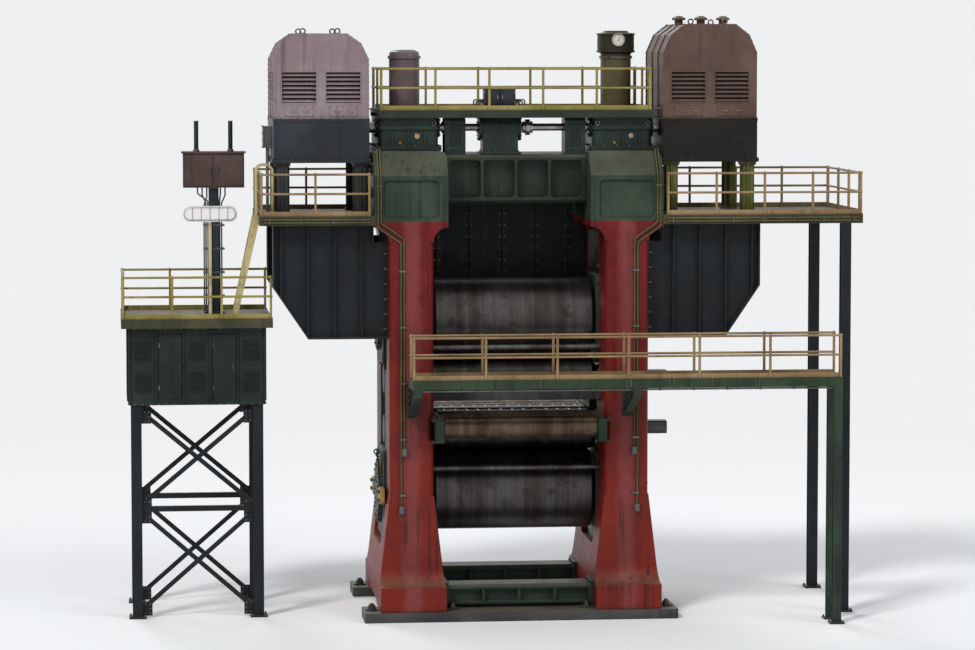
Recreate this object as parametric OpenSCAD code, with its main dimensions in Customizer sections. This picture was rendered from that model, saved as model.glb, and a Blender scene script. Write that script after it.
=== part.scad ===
// Four-high plate mill stand, complete from its sole plates up, in millimetres.
// X runs along the rolls, the exit side faces -Y, Z is up and zero is under the sole plates.

/* [Housings] */
// Distance between the middle planes of the two housings
housing_pitch = 5600; // [5500:50:6400]
// Width of a housing post, along the rolls
post_w = 1150; // [900:25:1200]
// Depth of a housing post, along the rolling direction
post_d = 1075; // [900:25:1300]
// Width of the window between the posts
window_w = 2350; // [2250:10:2600]
// Height of the window
window_h = 8400; // [8250:50:9400]
// Radius of the window's corners
window_r = 220; // [120:10:300]
// Depth of the lower crosshead, from the foot to the window's sill
sill_h = 1500; // [1300:50:1900]
// Depth of the upper crosshead
yoke_h = 1950; // [1700:50:2300]
// Width of the upper crosshead, along the rolls
yoke_w = 1900; // [1500:50:2200]
// Height of the sloped shoulder at the top of a housing
shoulder_h = 620; // [300:10:900]
// How far the shoulder slopes in from the post's face
shoulder_in = 520; // [200:10:800]
// Width of a housing's foot, along the rolls
foot_w = 1700; // [1300:50:2000]
// How far a foot reaches beyond the post's face
foot_out = 560; // [400:10:800]
// Height of a foot
foot_t = 640; // [450:10:800]
// Height over which the foot's width runs out into the post
flare_h = 2300; // [1200:50:3200]
// Thickness of a sole plate
sole_t = 250; // [160:10:400]
// How far a sole plate reaches beyond the foot at each end
sole_over = 420; // [300:10:600]
// Radius of an anchor bolt's hole in a sole plate
anchor_r = 55; // [30:1:80]
// Distance from a foot's side to the anchor bolt's hole
anchor_gap = 200; // [120:10:280]
// Radius of a post's upright edges
edge_r = 170; // [60:10:240]

/* [Rolls and chocks] */
// Diameter of the back-up rolls
backup_d = 2100; // [1800:10:2200]
// Barrel length of the back-up rolls
backup_l = 4200; // [3800:10:4300]
// Diameter of a back-up roll's neck in its chock
backup_neck_d = 1150; // [900:10:1300]
// Diameter of the work rolls
work_d = 1120; // [1000:10:1200]
// Barrel length of the work rolls
work_l = 4300; // [4000:10:4350]
// Diameter of a work roll's neck in its chock
work_neck_d = 640; // [500:10:700]
// Gap between the work rolls
roll_gap = 220; // [60:10:260]
// How far a work roll's driven end stands out of its chock
wobbler_l = 900; // [600:10:1200]
// Height of a back-up roll's chock
backup_chock_h = 2300; // [2200:10:2400]
// Length of a back-up roll's chock, along the rolls
backup_chock_l = 1300; // [1100:10:1350]
// Width of a work roll's chock, along the rolling direction
work_chock_w = 1500; // [1300:10:1600]
// Gap between a work roll's chock and the back-up roll's chock beside it
chock_gap = 15; // [5:1:40]
// Length of a work roll's chock, along the rolls
work_chock_l = 940; // [800:10:1000]
// Thickness of the wear plates on the window's faces
liner_t = 60; // [30:5:90]
// Thickness of the step plate under a bottom chock
step_t = 200; // [120:10:300]
// Diameter of a screw that sets the gap
screw_d = 600; // [450:10:680]
// Outer diameter of a screw's nut
nut_d = 950; // [850:10:1050]
// Height of the thrust capsule between chock and screw
capsule_h = 340; // [250:10:420]

/* [Screwdown drive] */
// Width of a worm gearbox, along the rolls
gearbox_w = 1560; // [1300:10:1800]
// Length of a worm gearbox, along the rolling direction
gearbox_l = 2700; // [2200:10:3000]
// Height of a worm gearbox
gearbox_h = 960; // [800:10:1100]
// Diameter of the tube that covers a screw's upper end
tube_d = 800; // [700:10:900]
// Height of a cover tube
tube_h = 1650; // [1200:10:2000]
// Height of the indicator housing on the right cover tube
indicator_h = 550; // [400:10:650]
// Diameter of the cross shaft between the gearboxes
cross_d = 190; // [120:5:260]
// Width of a motor's base, along the rolls
motor_w = 2560; // [2200:10:2700]
// Length of a motor's base, along the rolling direction
motor_l = 3300; // [2800:10:3700]
// Height of a motor's base
motor_base_h = 1130; // [900:10:1300]
// Height of the left motor's cover
motor_cover_h = 2200; // [2000:10:2500]
// How much higher the right motor's cover is
cover_more = 250; // [0:10:350]
// Depth of the brackets under the motors, at the post
bracket_h = 2950; // [2400:10:3400]
// Height of the pedestals between walkway and motor base
pedestal_h = 1350; // [1100:10:1500]

/* [Walkways] */
// Height of the side walkways' deck above the window's top
walk_up = 300; // [100:10:500]
// Length of the left walkway, out from the crosshead
walk_left_l = 2950; // [2800:10:3400]
// Length of the right walkway, out from the crosshead
walk_right_l = 5250; // [4600:10:5600]
// Thickness of a walkway's deck with its beams
deck_t = 240; // [160:10:300]
// Height of the handrails
rail_h = 1100; // [1000:10:1200]
// Diameter of the handrails' tubes
rail_d = 60; // [40:2:76]
// Height of the exit bridge's deck above the pass line
bridge_up = 1100; // [900:10:1400]
// Width of the exit bridge
bridge_w = 1000; // [800:10:1300]
// Distance from the posts' face to the bridge
bridge_gap = 950; // [700:10:1300]
// Depth of the bridge's brackets at the posts
bridge_arm_h = 900; // [700:10:1100]
// Length of the bridge beyond the right housing's middle
bridge_right = 5300; // [4500:10:6000]
// Height of the side platform above the sole plates' underside
side_z = 7800; // [7000:50:8400]
// Length of the side platform
side_l = 3900; // [3300:50:4500]
// Width of the side platform, along the rolling direction
side_w = 3600; // [3000:50:4200]
// Height of the plated block under the side platform
block_h = 2000; // [1400:50:2400]
// Width of the cabinet on the mast
cabinet_w = 1600; // [1000:50:2000]
// Height of the cabinet on the mast
cabinet_h = 900; // [600:10:1200]
// Height of the cabinet above the walkways' deck
cabinet_up = 650; // [500:10:800]
// Height of the two tubes on the cabinet
cabinet_tube_h = 850; // [600:10:1000]
// Height of the lamp's pole
lamp_h = 2500; // [2000:50:3000]
// Height of the lamp's head
lamp_head_h = 400; // [300:10:500]

/* [Table rollers] */
// Diameter of the feed rollers beside the work rolls
feed_d = 550; // [450:10:580]
// Distance from one feed roller to the next
feed_pitch = 700; // [640:10:800]
// Distance from the mill's middle to the first feed roller
feed_first = 1000; // [960:10:1050]
// Height of a spray header beyond its back-up roll's axis
header_up = 700; // [600:10:800]

/* [Hidden] */
$fn = 64;

// Clearances
seat = 0.3;
nip = 0.3;
ram_gap = 160;
arc_n = 10;

// Levels
foot_z = sole_t;
sill_z = foot_z + sill_h;
yoke_z = sill_z + window_h;
top_z = yoke_z + yoke_h;
bottom_backup_z = sill_z + step_t + backup_chock_h / 2;
roll_step = (backup_d + work_d) / 2 + nip;
work_chock_h = 2 * (roll_step - backup_chock_h / 2 - chock_gap);
bottom_work_z = bottom_backup_z + roll_step;
pass_z = bottom_work_z + work_d / 2;
top_work_z = pass_z + roll_gap + work_d / 2;
top_backup_z = top_work_z + roll_step;
capsule_z = top_backup_z + backup_chock_h / 2;
walk_z = yoke_z + walk_up;
motor_base_z = walk_z + pedestal_h;
motor_cover_z = motor_base_z + motor_base_h;
crown_z = top_z + gearbox_h;
bridge_z = pass_z + bridge_up;

// Places across and along the stand
housing_x = housing_pitch / 2;
housing_d = window_w + 2 * post_d;
post_in = housing_x - post_w / 2;
post_out = housing_x + post_w / 2;
yoke_in = housing_x - yoke_w / 2;
yoke_out = housing_x + yoke_w / 2;
face_y = housing_d / 2;
window_y = window_w / 2;
chock_y = window_y - liner_t - seat;
sole_y0 = face_y - post_d * 0.55;
sole_y1 = face_y + foot_out + 90;
chock_in = housing_x - backup_chock_l / 2;
chock_out = housing_x + backup_chock_l / 2;
motor_x = yoke_out + 40 + motor_w / 2;
motor_in = motor_x - motor_w / 2;
motor_out = motor_x + motor_w / 2;
walk_left_x = yoke_out + walk_left_l;
walk_right_x = yoke_out + walk_right_l;
bridge_y0 = -face_y - bridge_gap - bridge_w;
bridge_y1 = -face_y - bridge_gap;
bridge_x0 = -housing_x - 150;
bridge_x1 = housing_x + bridge_right;
side_x1 = -motor_out;
side_x0 = side_x1 - side_l;
post_size = 60;

// Rolled and welded sections
flange_t = 26;
web_t = 18;
foot_plate_t = 40;
rib_t = 40;

// Basic shapes
module block(low, high) {
    translate(low)
        cube(high - low);
}

module both_sides() {
    children();
    mirror([1, 0, 0])
        children();
}

module both_ends() {
    children();
    mirror([0, 1, 0])
        children();
}

// Lays a flat outline drawn with Y to the right and Z up, and draws it out along X
module along_x(x0, x1) {
    translate([x0, 0, 0])
        rotate([90, 0, 90])
            linear_extrude(x1 - x0)
                children();
}

// Lays a flat outline drawn with X to the right and Z up, and draws it out along Y
module along_y(y0, y1) {
    translate([0, y1, 0])
        rotate([90, 0, 0])
            linear_extrude(y1 - y0)
                children();
}

module disc_x(x0, x1, d, y = 0, z = 0) {
    translate([x0, y, z])
        rotate([0, 90, 0])
            cylinder(h = x1 - x0, d = d);
}

// Flat rectangle with round corners
module rounded_rect(x0, y0, x1, y1, r) {
    translate([x0 + r, y0])
        square([x1 - x0 - 2 * r, y1 - y0]);
    translate([x0, y0 + r])
        square([x1 - x0, y1 - y0 - 2 * r]);
    for (x = [x0 + r, x1 - r], y = [y0 + r, y1 - r])
        translate([x, y])
            circle(r);
}

// Upright rolled beam of I section, on a foot plate
module i_column(x, y, z0, z1, w) {
    h = w / 2;
    t = web_t / 2;
    translate([x, y, z0]) {
        linear_extrude(z1 - z0)
            polygon([[-h, -h], [h, -h], [h, -h + flange_t], [t, -h + flange_t], [t, h - flange_t],
                     [h, h - flange_t], [h, h], [-h, h], [-h, h - flange_t], [-t, h - flange_t],
                     [-t, -h + flange_t], [-h, -h + flange_t]]);
        block([-w * 0.85, -w * 0.85, 0], [w * 0.85, w * 0.85, foot_plate_t]);
    }
    block([x - h, y - h, z1 - flange_t], [x + h, y + h, z1]);
}

// Flat bar of width t from point a to point b, to the left of the way from a to b
function bar(a, b, t) =
    let (d = (b - a) / norm(b - a), n = [-d.y, d.x] * t)
        [a, b, b + n, a + n];

function arc_points(cx, cy, r, a0, a1) = [
    for (i = [0:arc_n])
        let (a = a0 + (a1 - a0) * i / arc_n)
            [cx + r * cos(a), cy + r * sin(a)]];

function chamfered_box(x0, y0, x1, y1, c) = [
    [x0 + c, y0], [x1 - c, y0], [x1, y0 + c], [x1, y1 - c],
    [x1 - c, y1], [x0 + c, y1], [x0, y1 - c], [x0, y0 + c]];

// Housings
module sole_plates() {
    color("dimgray")
        both_ends()
            difference() {
                block([-housing_x - foot_w / 2 - sole_over, sole_y0, 0],
                      [housing_x + foot_w / 2 + sole_over, sole_y1, sole_t]);
                for (x = [housing_x - foot_w / 2 - anchor_gap, housing_x + foot_w / 2 + anchor_gap])
                    for (side = [-1, 1])
                        translate([side * x, face_y, -1])
                            cylinder(h = sole_t + 2, r = anchor_r);
            }
}

// Half of a housing's side outline, on the +Y side, running from the foot to the top
function side_half() = concat(
    [[0, foot_z + 120], [face_y - post_d, foot_z + 120], [face_y - post_d + 120, foot_z],
     [face_y + foot_out, foot_z], [face_y + foot_out, foot_z + foot_t]],
    arc_points(face_y + foot_out * 0.8, foot_z + foot_t + foot_out * 0.8, foot_out * 0.8, 270, 180),
    [[face_y, top_z - shoulder_h], [face_y - shoulder_in, top_z], [0, top_z]]);

// Half of the housing's front outline, on its outer side, running from the foot to the top
function front_half() =
    let (swell = (yoke_w - post_w) / 2)
        concat(
            [[0, foot_z], [foot_w / 2, foot_z], [foot_w / 2, foot_z + foot_t],
             [post_w / 2, foot_z + foot_t + flare_h]],
            arc_points(post_w / 2 + swell, yoke_z - swell, swell, 180, 90),
            arc_points(yoke_w / 2 - 160, top_z - 160, 160, 0, 90),
            [[0, top_z]]);

// Both halves of an outline whose half runs from the middle line to the middle line
function both_halves(half) = concat(
    half, [for (i = [len(half) - 1:-1:0]) if (half[i].x > 0) [-half[i].x, half[i].y]]);

// Cuts that round a post's upright edges between the foot's flare and the crosshead
module post_edges() {
    z0 = foot_z + foot_t + flare_h;
    z1 = yoke_z - (yoke_w - post_w) / 2;
    both_sides()
        both_ends()
            difference() {
                block([post_w / 2 - edge_r, face_y - edge_r, z0], [post_w / 2 + 1, face_y + 1, z1]);
                translate([post_w / 2 - edge_r, face_y - edge_r, z0 - 1])
                    cylinder(h = z1 - z0 + 2, r = edge_r);
            }
}

// Shallow cast recess in the crosshead's exit and entry faces
recess_t = 60;
recess_edge = 230;
module crosshead_recess() {
    both_ends()
        along_y(face_y - recess_t, face_y + 1)
            rounded_rect(-yoke_w / 2 + recess_edge, yoke_z + recess_edge, yoke_w / 2 - recess_edge,
                         top_z - shoulder_h - recess_edge / 2, recess_edge / 2);
}

module housing() {
    difference() {
        intersection() {
            along_x(-foot_w, foot_w)
                polygon(both_halves(side_half()));
            along_y(-housing_d, housing_d)
                polygon(both_halves(front_half()));
        }
        along_x(-foot_w, foot_w)
            rounded_rect(-window_y, sill_z, window_y, yoke_z, window_r);
        translate([0, 0, yoke_z - 1])
            cylinder(h = yoke_h + 2, d = nut_d + 2 * seat);
        post_edges();
        crosshead_recess();
    }
}

module housing_left() {
    color("firebrick")
        translate([-housing_x, 0, 0])
            housing();
}

module housing_right() {
    color("firebrick")
        translate([housing_x, 0, 0])
            housing();
}

// Wear plates on the window's faces, beside the back-up rolls' chocks
module window_liners() {
    color("silver")
        both_sides()
            both_ends() {
                block([housing_x - post_w / 2, chock_y + seat, sill_z + window_r],
                      [housing_x + post_w / 2, window_y, bottom_backup_z + backup_chock_h / 2 - 20]);
                block([housing_x - post_w / 2, chock_y + seat, top_backup_z - backup_chock_h / 2 + 20],
                      [housing_x + post_w / 2, window_y, yoke_z - window_r]);
            }
}

// Box beams between the feet, with end flanges and open bays between their ribs
separator_h = 560;
separator_flange = 90;
module bottom_separators() {
    x1 = housing_x - foot_w / 2;
    y0 = face_y - post_d * 0.9;
    y1 = face_y - post_d * 0.1;
    z0 = foot_z + 40;
    bays = 4;
    bay_x = separator_flange - x1;
    pitch = -2 * bay_x / bays;
    color("darkgreen")
        both_ends() {
            difference() {
                along_x(-x1, x1)
                    polygon(chamfered_box(y0, z0, y1, z0 + separator_h, 60));
                for (i = [0:bays - 1])
                    for (y = [y0 - 1, y1 - 160])
                        block([bay_x + i * pitch + rib_t, y, z0 + 120],
                              [bay_x + (i + 1) * pitch - rib_t, y + 161, z0 + separator_h - 120]);
            }
            both_sides()
                block([x1 - separator_flange, y0 - 70, z0], [x1, y1 + 70, z0 + separator_h + 70]);
        }
}

// Box girder between the crossheads, with open bays between its ribs
crown_separator_d = 2700;
crown_separator_h = 1280;
crown_bay_d = 240;
module crown_separator() {
    y1 = crown_separator_d / 2;
    z1 = top_z - 100;
    z0 = z1 - crown_separator_h;
    bays = 4;
    pitch = 2 * (yoke_in - separator_flange) / bays;
    color("darkgreen")
        difference() {
            along_x(-yoke_in, yoke_in)
                polygon(chamfered_box(-y1, z0, y1, z1, 80));
            both_ends()
                for (i = [0:bays - 1])
                    along_y(y1 - crown_bay_d, y1 + 1)
                        rounded_rect(-yoke_in + separator_flange + i * pitch + rib_t, z0 + 150,
                                     -yoke_in + separator_flange + (i + 1) * pitch - rib_t, z1 - 150, 90);
        }
}

// Rolls and chocks
module step_plates() {
    color("silver")
        both_sides()
            block([chock_in + 60, -chock_y + 180, sill_z], [chock_out - 60, chock_y - 180, sill_z + step_t]);
}

module backup_roll(z) {
    r = backup_d / 2;
    neck = backup_neck_d / 2;
    half = backup_l / 2;
    end = chock_out - 220;
    outline = [
        [0, -end], [neck, -end], [neck, -chock_in], [neck + 130, -half - 10], [neck + 130, -half],
        [r - 30, -half], [r, -half + 50], [r, half - 50], [r - 30, half], [neck + 130, half],
        [neck + 130, half + 10], [neck, chock_in], [neck, end], [0, end]];
    translate([0, 0, z])
        rotate([0, 90, 0])
            rotate_extrude($fn = 96)
                polygon(outline);
}

module bottom_backup_roll() {
    color("slategray")
        backup_roll(bottom_backup_z);
}

module top_backup_roll() {
    color("slategray")
        backup_roll(top_backup_z);
}

work_chock_in = housing_x - work_chock_l / 2;
work_chock_out = housing_x + work_chock_l / 2;
wobbler_x = work_chock_out + wobbler_l;
module work_roll(z) {
    r = work_d / 2;
    neck = work_neck_d / 2;
    half = work_l / 2;
    outline = [
        [0, -work_chock_out + 160], [neck, -work_chock_out + 160], [neck, -half - 140],
        [neck + 90, -half - 60], [neck + 90, -half],
        [r - 15, -half], [r, -half + 25], [r, half - 25], [r - 15, half],
        [neck + 90, half], [neck + 90, half + 60], [neck, half + 140], [neck, work_chock_out + 140],
        [neck - 60, work_chock_out + 180], [neck - 60, wobbler_x], [0, wobbler_x]];
    difference() {
        translate([0, 0, z])
            rotate([0, 90, 0])
                rotate_extrude($fn = 96)
                    polygon(outline);
        for (flat = [-1, 1])
            translate([work_chock_out + 320, -neck, z + flat * (neck - 150 + neck) - neck])
                cube([wobbler_l, 2 * neck, 2 * neck]);
    }
}

module bottom_work_roll() {
    color("lightsteelblue")
        work_roll(bottom_work_z);
}

module top_work_roll() {
    color("lightsteelblue")
        work_roll(top_work_z);
}

// A back-up roll's chock: wear pads on its sides, stepped bearing cover on its outer face
chock_pad_t = 30;
module backup_chock(z) {
    half = backup_chock_h / 2;
    body_y = chock_y - chock_pad_t;
    difference() {
        union() {
            along_x(chock_in, chock_out)
                polygon(chamfered_box(-body_y, z - half, body_y, z + half, 150));
            both_ends()
                along_x(chock_in + 60, chock_out - 60)
                    polygon([[body_y - 1, z - half * 0.76], [chock_y, z - half * 0.72],
                             [chock_y, z + half * 0.72], [body_y - 1, z + half * 0.76]]);
            disc_x(chock_out - 1, chock_out + 50, backup_neck_d + 560, 0, z);
            disc_x(chock_out - 1, chock_out + 110, backup_neck_d + 380, 0, z);
        }
        disc_x(chock_in - 1, chock_out - 200, backup_neck_d + 2 * seat, 0, z);
        both_ends()
            for (s = [-1, 1])
                along_x(chock_out - 70, chock_out + 1)
                    polygon([[body_y - 70, z + s * (half - 210)], [body_y - 210, z + s * (half - 70)],
                             [body_y - 430, z + s * (half - 70)], [body_y - 70, z + s * (half - 430)]]);
    }
}

module backup_chocks() {
    color("seagreen")
        both_sides() {
            backup_chock(bottom_backup_z);
            backup_chock(top_backup_z);
        }
}

// A work roll's chock: wings that its guide blocks hold, and a stepped cover
wing_h = 520;
wing_w = 90;
module work_chock(z, side) {
    half = work_chock_h / 2;
    y1 = work_chock_w / 2;
    difference() {
        union() {
            along_x(work_chock_in, work_chock_out)
                polygon(chamfered_box(-y1 + wing_w, z - half, y1 - wing_w, z + half, 70));
            along_x(work_chock_in, work_chock_out)
                polygon(chamfered_box(-y1, z - wing_h / 2, y1, z + wing_h / 2, 40));
            disc_x(work_chock_out - 1, work_chock_out + 40, work_neck_d + 200, 0, z);
            disc_x(work_chock_out - 1, work_chock_out + 90, work_neck_d + 110, 0, z);
        }
        if (side > 0)
            disc_x(work_chock_in - 1, work_chock_out + 91, work_neck_d + 2 * seat, 0, z);
        else
            disc_x(work_chock_in - 1, work_chock_out - 150, work_neck_d + 2 * seat, 0, z);
    }
}

module work_chocks() {
    color("seagreen")
        for (z = [bottom_work_z, top_work_z]) {
            work_chock(z, 1);
            mirror([1, 0, 0])
                work_chock(z, -1);
        }
}

// Blocks on the posts at the pass line, which guide the work rolls' chocks and hold the balance rams
project_z0 = bottom_backup_z + backup_chock_h / 2 + 25;
project_z1 = top_backup_z - backup_chock_h / 2 - ram_gap;
project_l = post_w;
project_y0 = work_chock_w / 2 + seat;
module project_blocks() {
    color("gray")
        both_sides()
            both_ends()
                difference() {
                    block([housing_x - project_l / 2, project_y0, project_z0],
                          [housing_x + project_l / 2, window_y, project_z1]);
                    for (x = ram_places)
                        translate([housing_x + x, ram_y, project_z1 - ram_deep])
                            cylinder(h = ram_deep + 1, d = ram_d + 2 * seat);
                }
}

ram_d = 170;
ram_deep = 500;
ram_y = (project_y0 + window_y) / 2;
ram_places = [-project_l / 4, project_l / 4];
module balance_rams() {
    color("gainsboro")
        both_sides()
            both_ends()
                for (x = ram_places)
                    translate([housing_x + x, ram_y, project_z1 - ram_deep])
                        cylinder(h = ram_deep + ram_gap, d = ram_d);
}

// Plates on the left housing's outer face that keep the chocks in their windows
keeper_t = 120;
keeper_h = 420;
keeper_w = 560;
keeper_in = 250;
module keeper_plates() {
    color("darkgoldenrod")
        both_ends()
            for (z = [bottom_backup_z, top_backup_z])
                along_x(-chock_out - keeper_t, -chock_out)
                    polygon(chamfered_box(window_y - keeper_in, z - keeper_h / 2,
                                          window_y - keeper_in + keeper_w, z + keeper_h / 2, 70));
}

// Screwdown
module thrust_capsules() {
    color("silver")
        both_sides()
            translate([housing_x, 0, capsule_z])
                rotate_extrude()
                    polygon([[0, 0], [nut_d / 2 + 60, 0], [nut_d / 2 + 60, capsule_h * 0.55],
                             [nut_d / 2 - 60, capsule_h * 0.75], [screw_d / 2 + 80, capsule_h],
                             [0, capsule_h]]);
}

module screws() {
    color("silver")
        both_sides()
            translate([housing_x, 0, capsule_z + capsule_h])
                cylinder(h = top_z - capsule_z - capsule_h, d = screw_d);
}

nut_flange_t = 110;
module screw_nuts() {
    color("peru")
        both_sides()
            translate([housing_x, 0, 0])
                difference() {
                    union() {
                        translate([0, 0, yoke_z - nut_flange_t])
                            cylinder(h = nut_flange_t, d = nut_d + 240);
                        translate([0, 0, yoke_z - 1])
                            cylinder(h = yoke_h * 0.8, d = nut_d);
                    }
                    translate([0, 0, yoke_z - nut_flange_t - 1])
                        cylinder(h = yoke_h + nut_flange_t, d = screw_d + 2 * seat);
                }
}

// Worm gearbox on a crosshead: foot flange, case, split flange, round lid and the worm's barrel
case_flange = 80;
case_r = 170;
lid_t = 110;
barrel_d = 520;
barrel_out = 60;
module gearbox() {
    x1 = gearbox_w / 2;
    y1 = gearbox_l / 2;
    rise = cross_z - top_z;
    translate([0, 0, top_z])
        linear_extrude(110)
            rounded_rect(-x1 - case_flange, -y1 - case_flange, x1 + case_flange, y1 + case_flange, 90);
    translate([0, 0, top_z + 109])
        linear_extrude(gearbox_h - 109 - lid_t)
            rounded_rect(-x1, -y1, x1, y1, case_r);
    translate([0, 0, top_z + rise - 45])
        linear_extrude(90)
            rounded_rect(-x1 - 60, -y1 - 60, x1 + 60, y1 + 60, case_r + 60);
    translate([0, 0, crown_z - lid_t - 1])
        cylinder(h = lid_t + 1, d = gearbox_w - 120);
    disc_x(-x1 - barrel_out, x1 + barrel_out, barrel_d, cross_y, cross_z);
    both_ends()
        for (x = [-x1 * 0.55, 0, x1 * 0.55])
            along_x(x - rib_t / 2, x + rib_t / 2)
                polygon([[y1 - 1, top_z + 109], [y1 + case_flange - 20, top_z + 109],
                         [y1 + 20, cross_z - 44], [y1 - 1, cross_z - 44]]);
}

module screw_gearboxes() {
    color("darkslategray")
        both_sides()
            translate([housing_x, 0, 0])
                gearbox();
}

module screw_tubes() {
    r = tube_d / 2;
    cap = r + 110;
    foot = [[0, 0], [r + 80, 0], [r + 80, 70], [r + 30, 90], [r, 150],
            [r, tube_h - 230], [r + 35, tube_h - 230], [r + 35, tube_h - 160], [r, tube_h - 160]];
    dome = [[r - 20, tube_h - 60], [r - 130, tube_h], [0, tube_h]];
    indicator = [[r, tube_h - 100], [cap, tube_h - 60], [cap, tube_h - 20], [cap - 25, tube_h - 20],
                 [cap - 25, tube_h - 160 + indicator_h], [cap, tube_h - 160 + indicator_h],
                 [cap, tube_h - 120 + indicator_h], [cap - 160, tube_h - 100 + indicator_h],
                 [cap - 200, tube_h - 50 + indicator_h], [0, tube_h - 50 + indicator_h]];
    color("slategray")
        for (side = [-1, 1])
            translate([side * housing_x, 0, crown_z])
                rotate_extrude()
                    polygon(concat(foot, side < 0 ? dome : indicator));
}

// Cross shaft that keeps the two screws in step, with its clutch a little left of the middle
cross_z = top_z + gearbox_h * 0.62;
cross_y = -gearbox_l * 0.32;
clutch_l = 1100;
clutch_d = 620;
clutch_x = -clutch_l * 0.35;
gear_in = housing_x - gearbox_w / 2;
barrel_in = gear_in - barrel_out;
barrel_end = housing_x + gearbox_w / 2 + barrel_out;
module shaft_coupling(x) {
    disc_x(x, x + 260, cross_d + 110, cross_y, cross_z);
    disc_x(x + 80, x + 180, cross_d + 220, cross_y, cross_z);
}

module drive_shafts() {
    color("gainsboro") {
        disc_x(-barrel_in, clutch_x - clutch_l / 2, cross_d, cross_y, cross_z);
        disc_x(clutch_x + clutch_l / 2, barrel_in, cross_d, cross_y, cross_z);
        shaft_coupling(-barrel_in + 60);
        shaft_coupling(clutch_x + clutch_l / 2 + 60);
        shaft_coupling(barrel_in - 320);
        both_sides()
            disc_x(barrel_end, motor_in, cross_d + 90, cross_y, cross_z);
    }
}

// Section of a coupling guard, drawn in by a wall's thickness
cowl_l = 540;
cowl_w = 700;
cowl_t = 25;
function cowl_outline(wall) =
    let (w = cowl_w / 2 - wall, top = crown_z - 35 - wall)
        [[cross_y - w, top_z - 100 - wall], [cross_y + w, top_z - 100 - wall], [cross_y + w, top - 150],
         [cross_y + w - 150, top], [cross_y - w + 150, top], [cross_y - w, top - 150]];

// Housings on the cross shaft: the clutch on its foot, a guard over each gearbox's coupling, and
// the clutch's control box on the crown deck
module shaft_housings() {
    spread = clutch_d / 2 + 60;
    box_l = clutch_l * 0.8;
    box_z = crown_z + crown_t;
    color("darkslategray") {
        translate([clutch_x, 0, 0]) {
            disc_x(-clutch_l / 2, clutch_l / 2, clutch_d, cross_y, cross_z);
            for (x = [-clutch_l / 2, clutch_l / 2 - 60])
                disc_x(x, x + 60, clutch_d + 80, cross_y, cross_z);
            along_x(-clutch_l / 2 + 90, clutch_l / 2 - 90)
                polygon([[cross_y - spread, top_z - 100], [cross_y + spread, top_z - 100],
                         [cross_y + clutch_d * 0.42, cross_z], [cross_y - clutch_d * 0.42, cross_z]]);
            block([-clutch_l / 2 + 20, cross_y - spread - 60, top_z - 100],
                  [clutch_l / 2 - 20, cross_y + spread + 60, top_z - 40]);
            block([-box_l / 2, cross_y - 220, box_z], [box_l / 2, cross_y + 220, box_z + 80]);
            block([-box_l / 2 + 30, cross_y - 190, box_z + 79],
                  [box_l / 2 - 30, cross_y + 190, box_z + 560]);
            block([-box_l / 2, cross_y - 220, box_z + 559], [box_l / 2, cross_y + 220, box_z + 600]);
        }
        both_sides()
            difference() {
                along_x(yoke_in - 10 - cowl_l, yoke_in - 10)
                    polygon(cowl_outline(0));
                along_x(yoke_in - 10 - cowl_l + cowl_t, yoke_in)
                    polygon(cowl_outline(cowl_t));
                disc_x(yoke_in - 11 - cowl_l, yoke_in - cowl_l + cowl_t, cross_d + 60, cross_y, cross_z);
            }
    }
}

// Brackets on the outer faces of the posts, under the motors
bracket_t = 420;
bracket_foot = 900;
bracket_flange = 45;
bracket_top = walk_z - deck_t;
bracket_y = face_y - post_d / 2;
module motor_brackets() {
    swell = (yoke_w - post_w) / 2;
    low = bracket_top - bracket_h;
    edge = [
        [post_out, low], [motor_out - bracket_foot, low], [motor_out, bracket_top - bracket_h * 0.55],
        [motor_out, bracket_top], [yoke_out + 1, bracket_top]];
    wall = [[yoke_out + 1, yoke_z - swell - 20], [post_out, yoke_z - swell - 20]];
    pitch = (motor_out - bracket_foot - post_out) / 3;
    color("midnightblue")
        both_sides()
            both_ends() {
                along_y(bracket_y - web_t * 2, bracket_y + web_t * 2)
                    polygon(concat(edge, wall));
                for (i = [0:len(edge) - 2])
                    along_y(bracket_y - bracket_t / 2, bracket_y + bracket_t / 2)
                        polygon(bar(edge[i], edge[i + 1], bracket_flange));
                for (run = [[wall[1], edge[0]], [edge[4], wall[0]]])
                    along_y(bracket_y - bracket_t / 2, bracket_y + bracket_t / 2)
                        polygon(bar(run[0], run[1], bracket_flange));
                intersection() {
                    along_y(bracket_y - bracket_t / 2 + 30, bracket_y + bracket_t / 2 - 30)
                        polygon(concat(edge, wall));
                    for (i = [1:4])
                        translate([post_out + i * pitch, 0, 0])
                            block([-rib_t / 2, 0, low], [rib_t / 2, face_y, bracket_top]);
                }
            }
}

// A deck plate on a frame of beams along its four edges
plate_t = 40;
edge_w = 90;
module deck(x0, x1, y0, y1, z, joists = 0) {
    pitch = (x1 - x0) / (joists + 1);
    difference() {
        block([x0, y0, z - deck_t], [x1, y1, z]);
        block([x0 + edge_w, y0 + edge_w, z - deck_t - 1], [x1 - edge_w, y1 - edge_w, z - plate_t]);
    }
    if (joists > 0)
        for (i = [1:joists])
            block([x0 + i * pitch - rib_t, y0 + edge_w - 1, z - deck_t + 60],
                  [x0 + i * pitch + rib_t, y1 - edge_w + 1, z - plate_t + 1]);
}

module side_walkways() {
    color("olivedrab") {
        deck(-walk_left_x, -yoke_out, -face_y, face_y, walk_z, 3);
        deck(yoke_out, walk_right_x, -face_y, face_y, walk_z, 6);
    }
}

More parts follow.
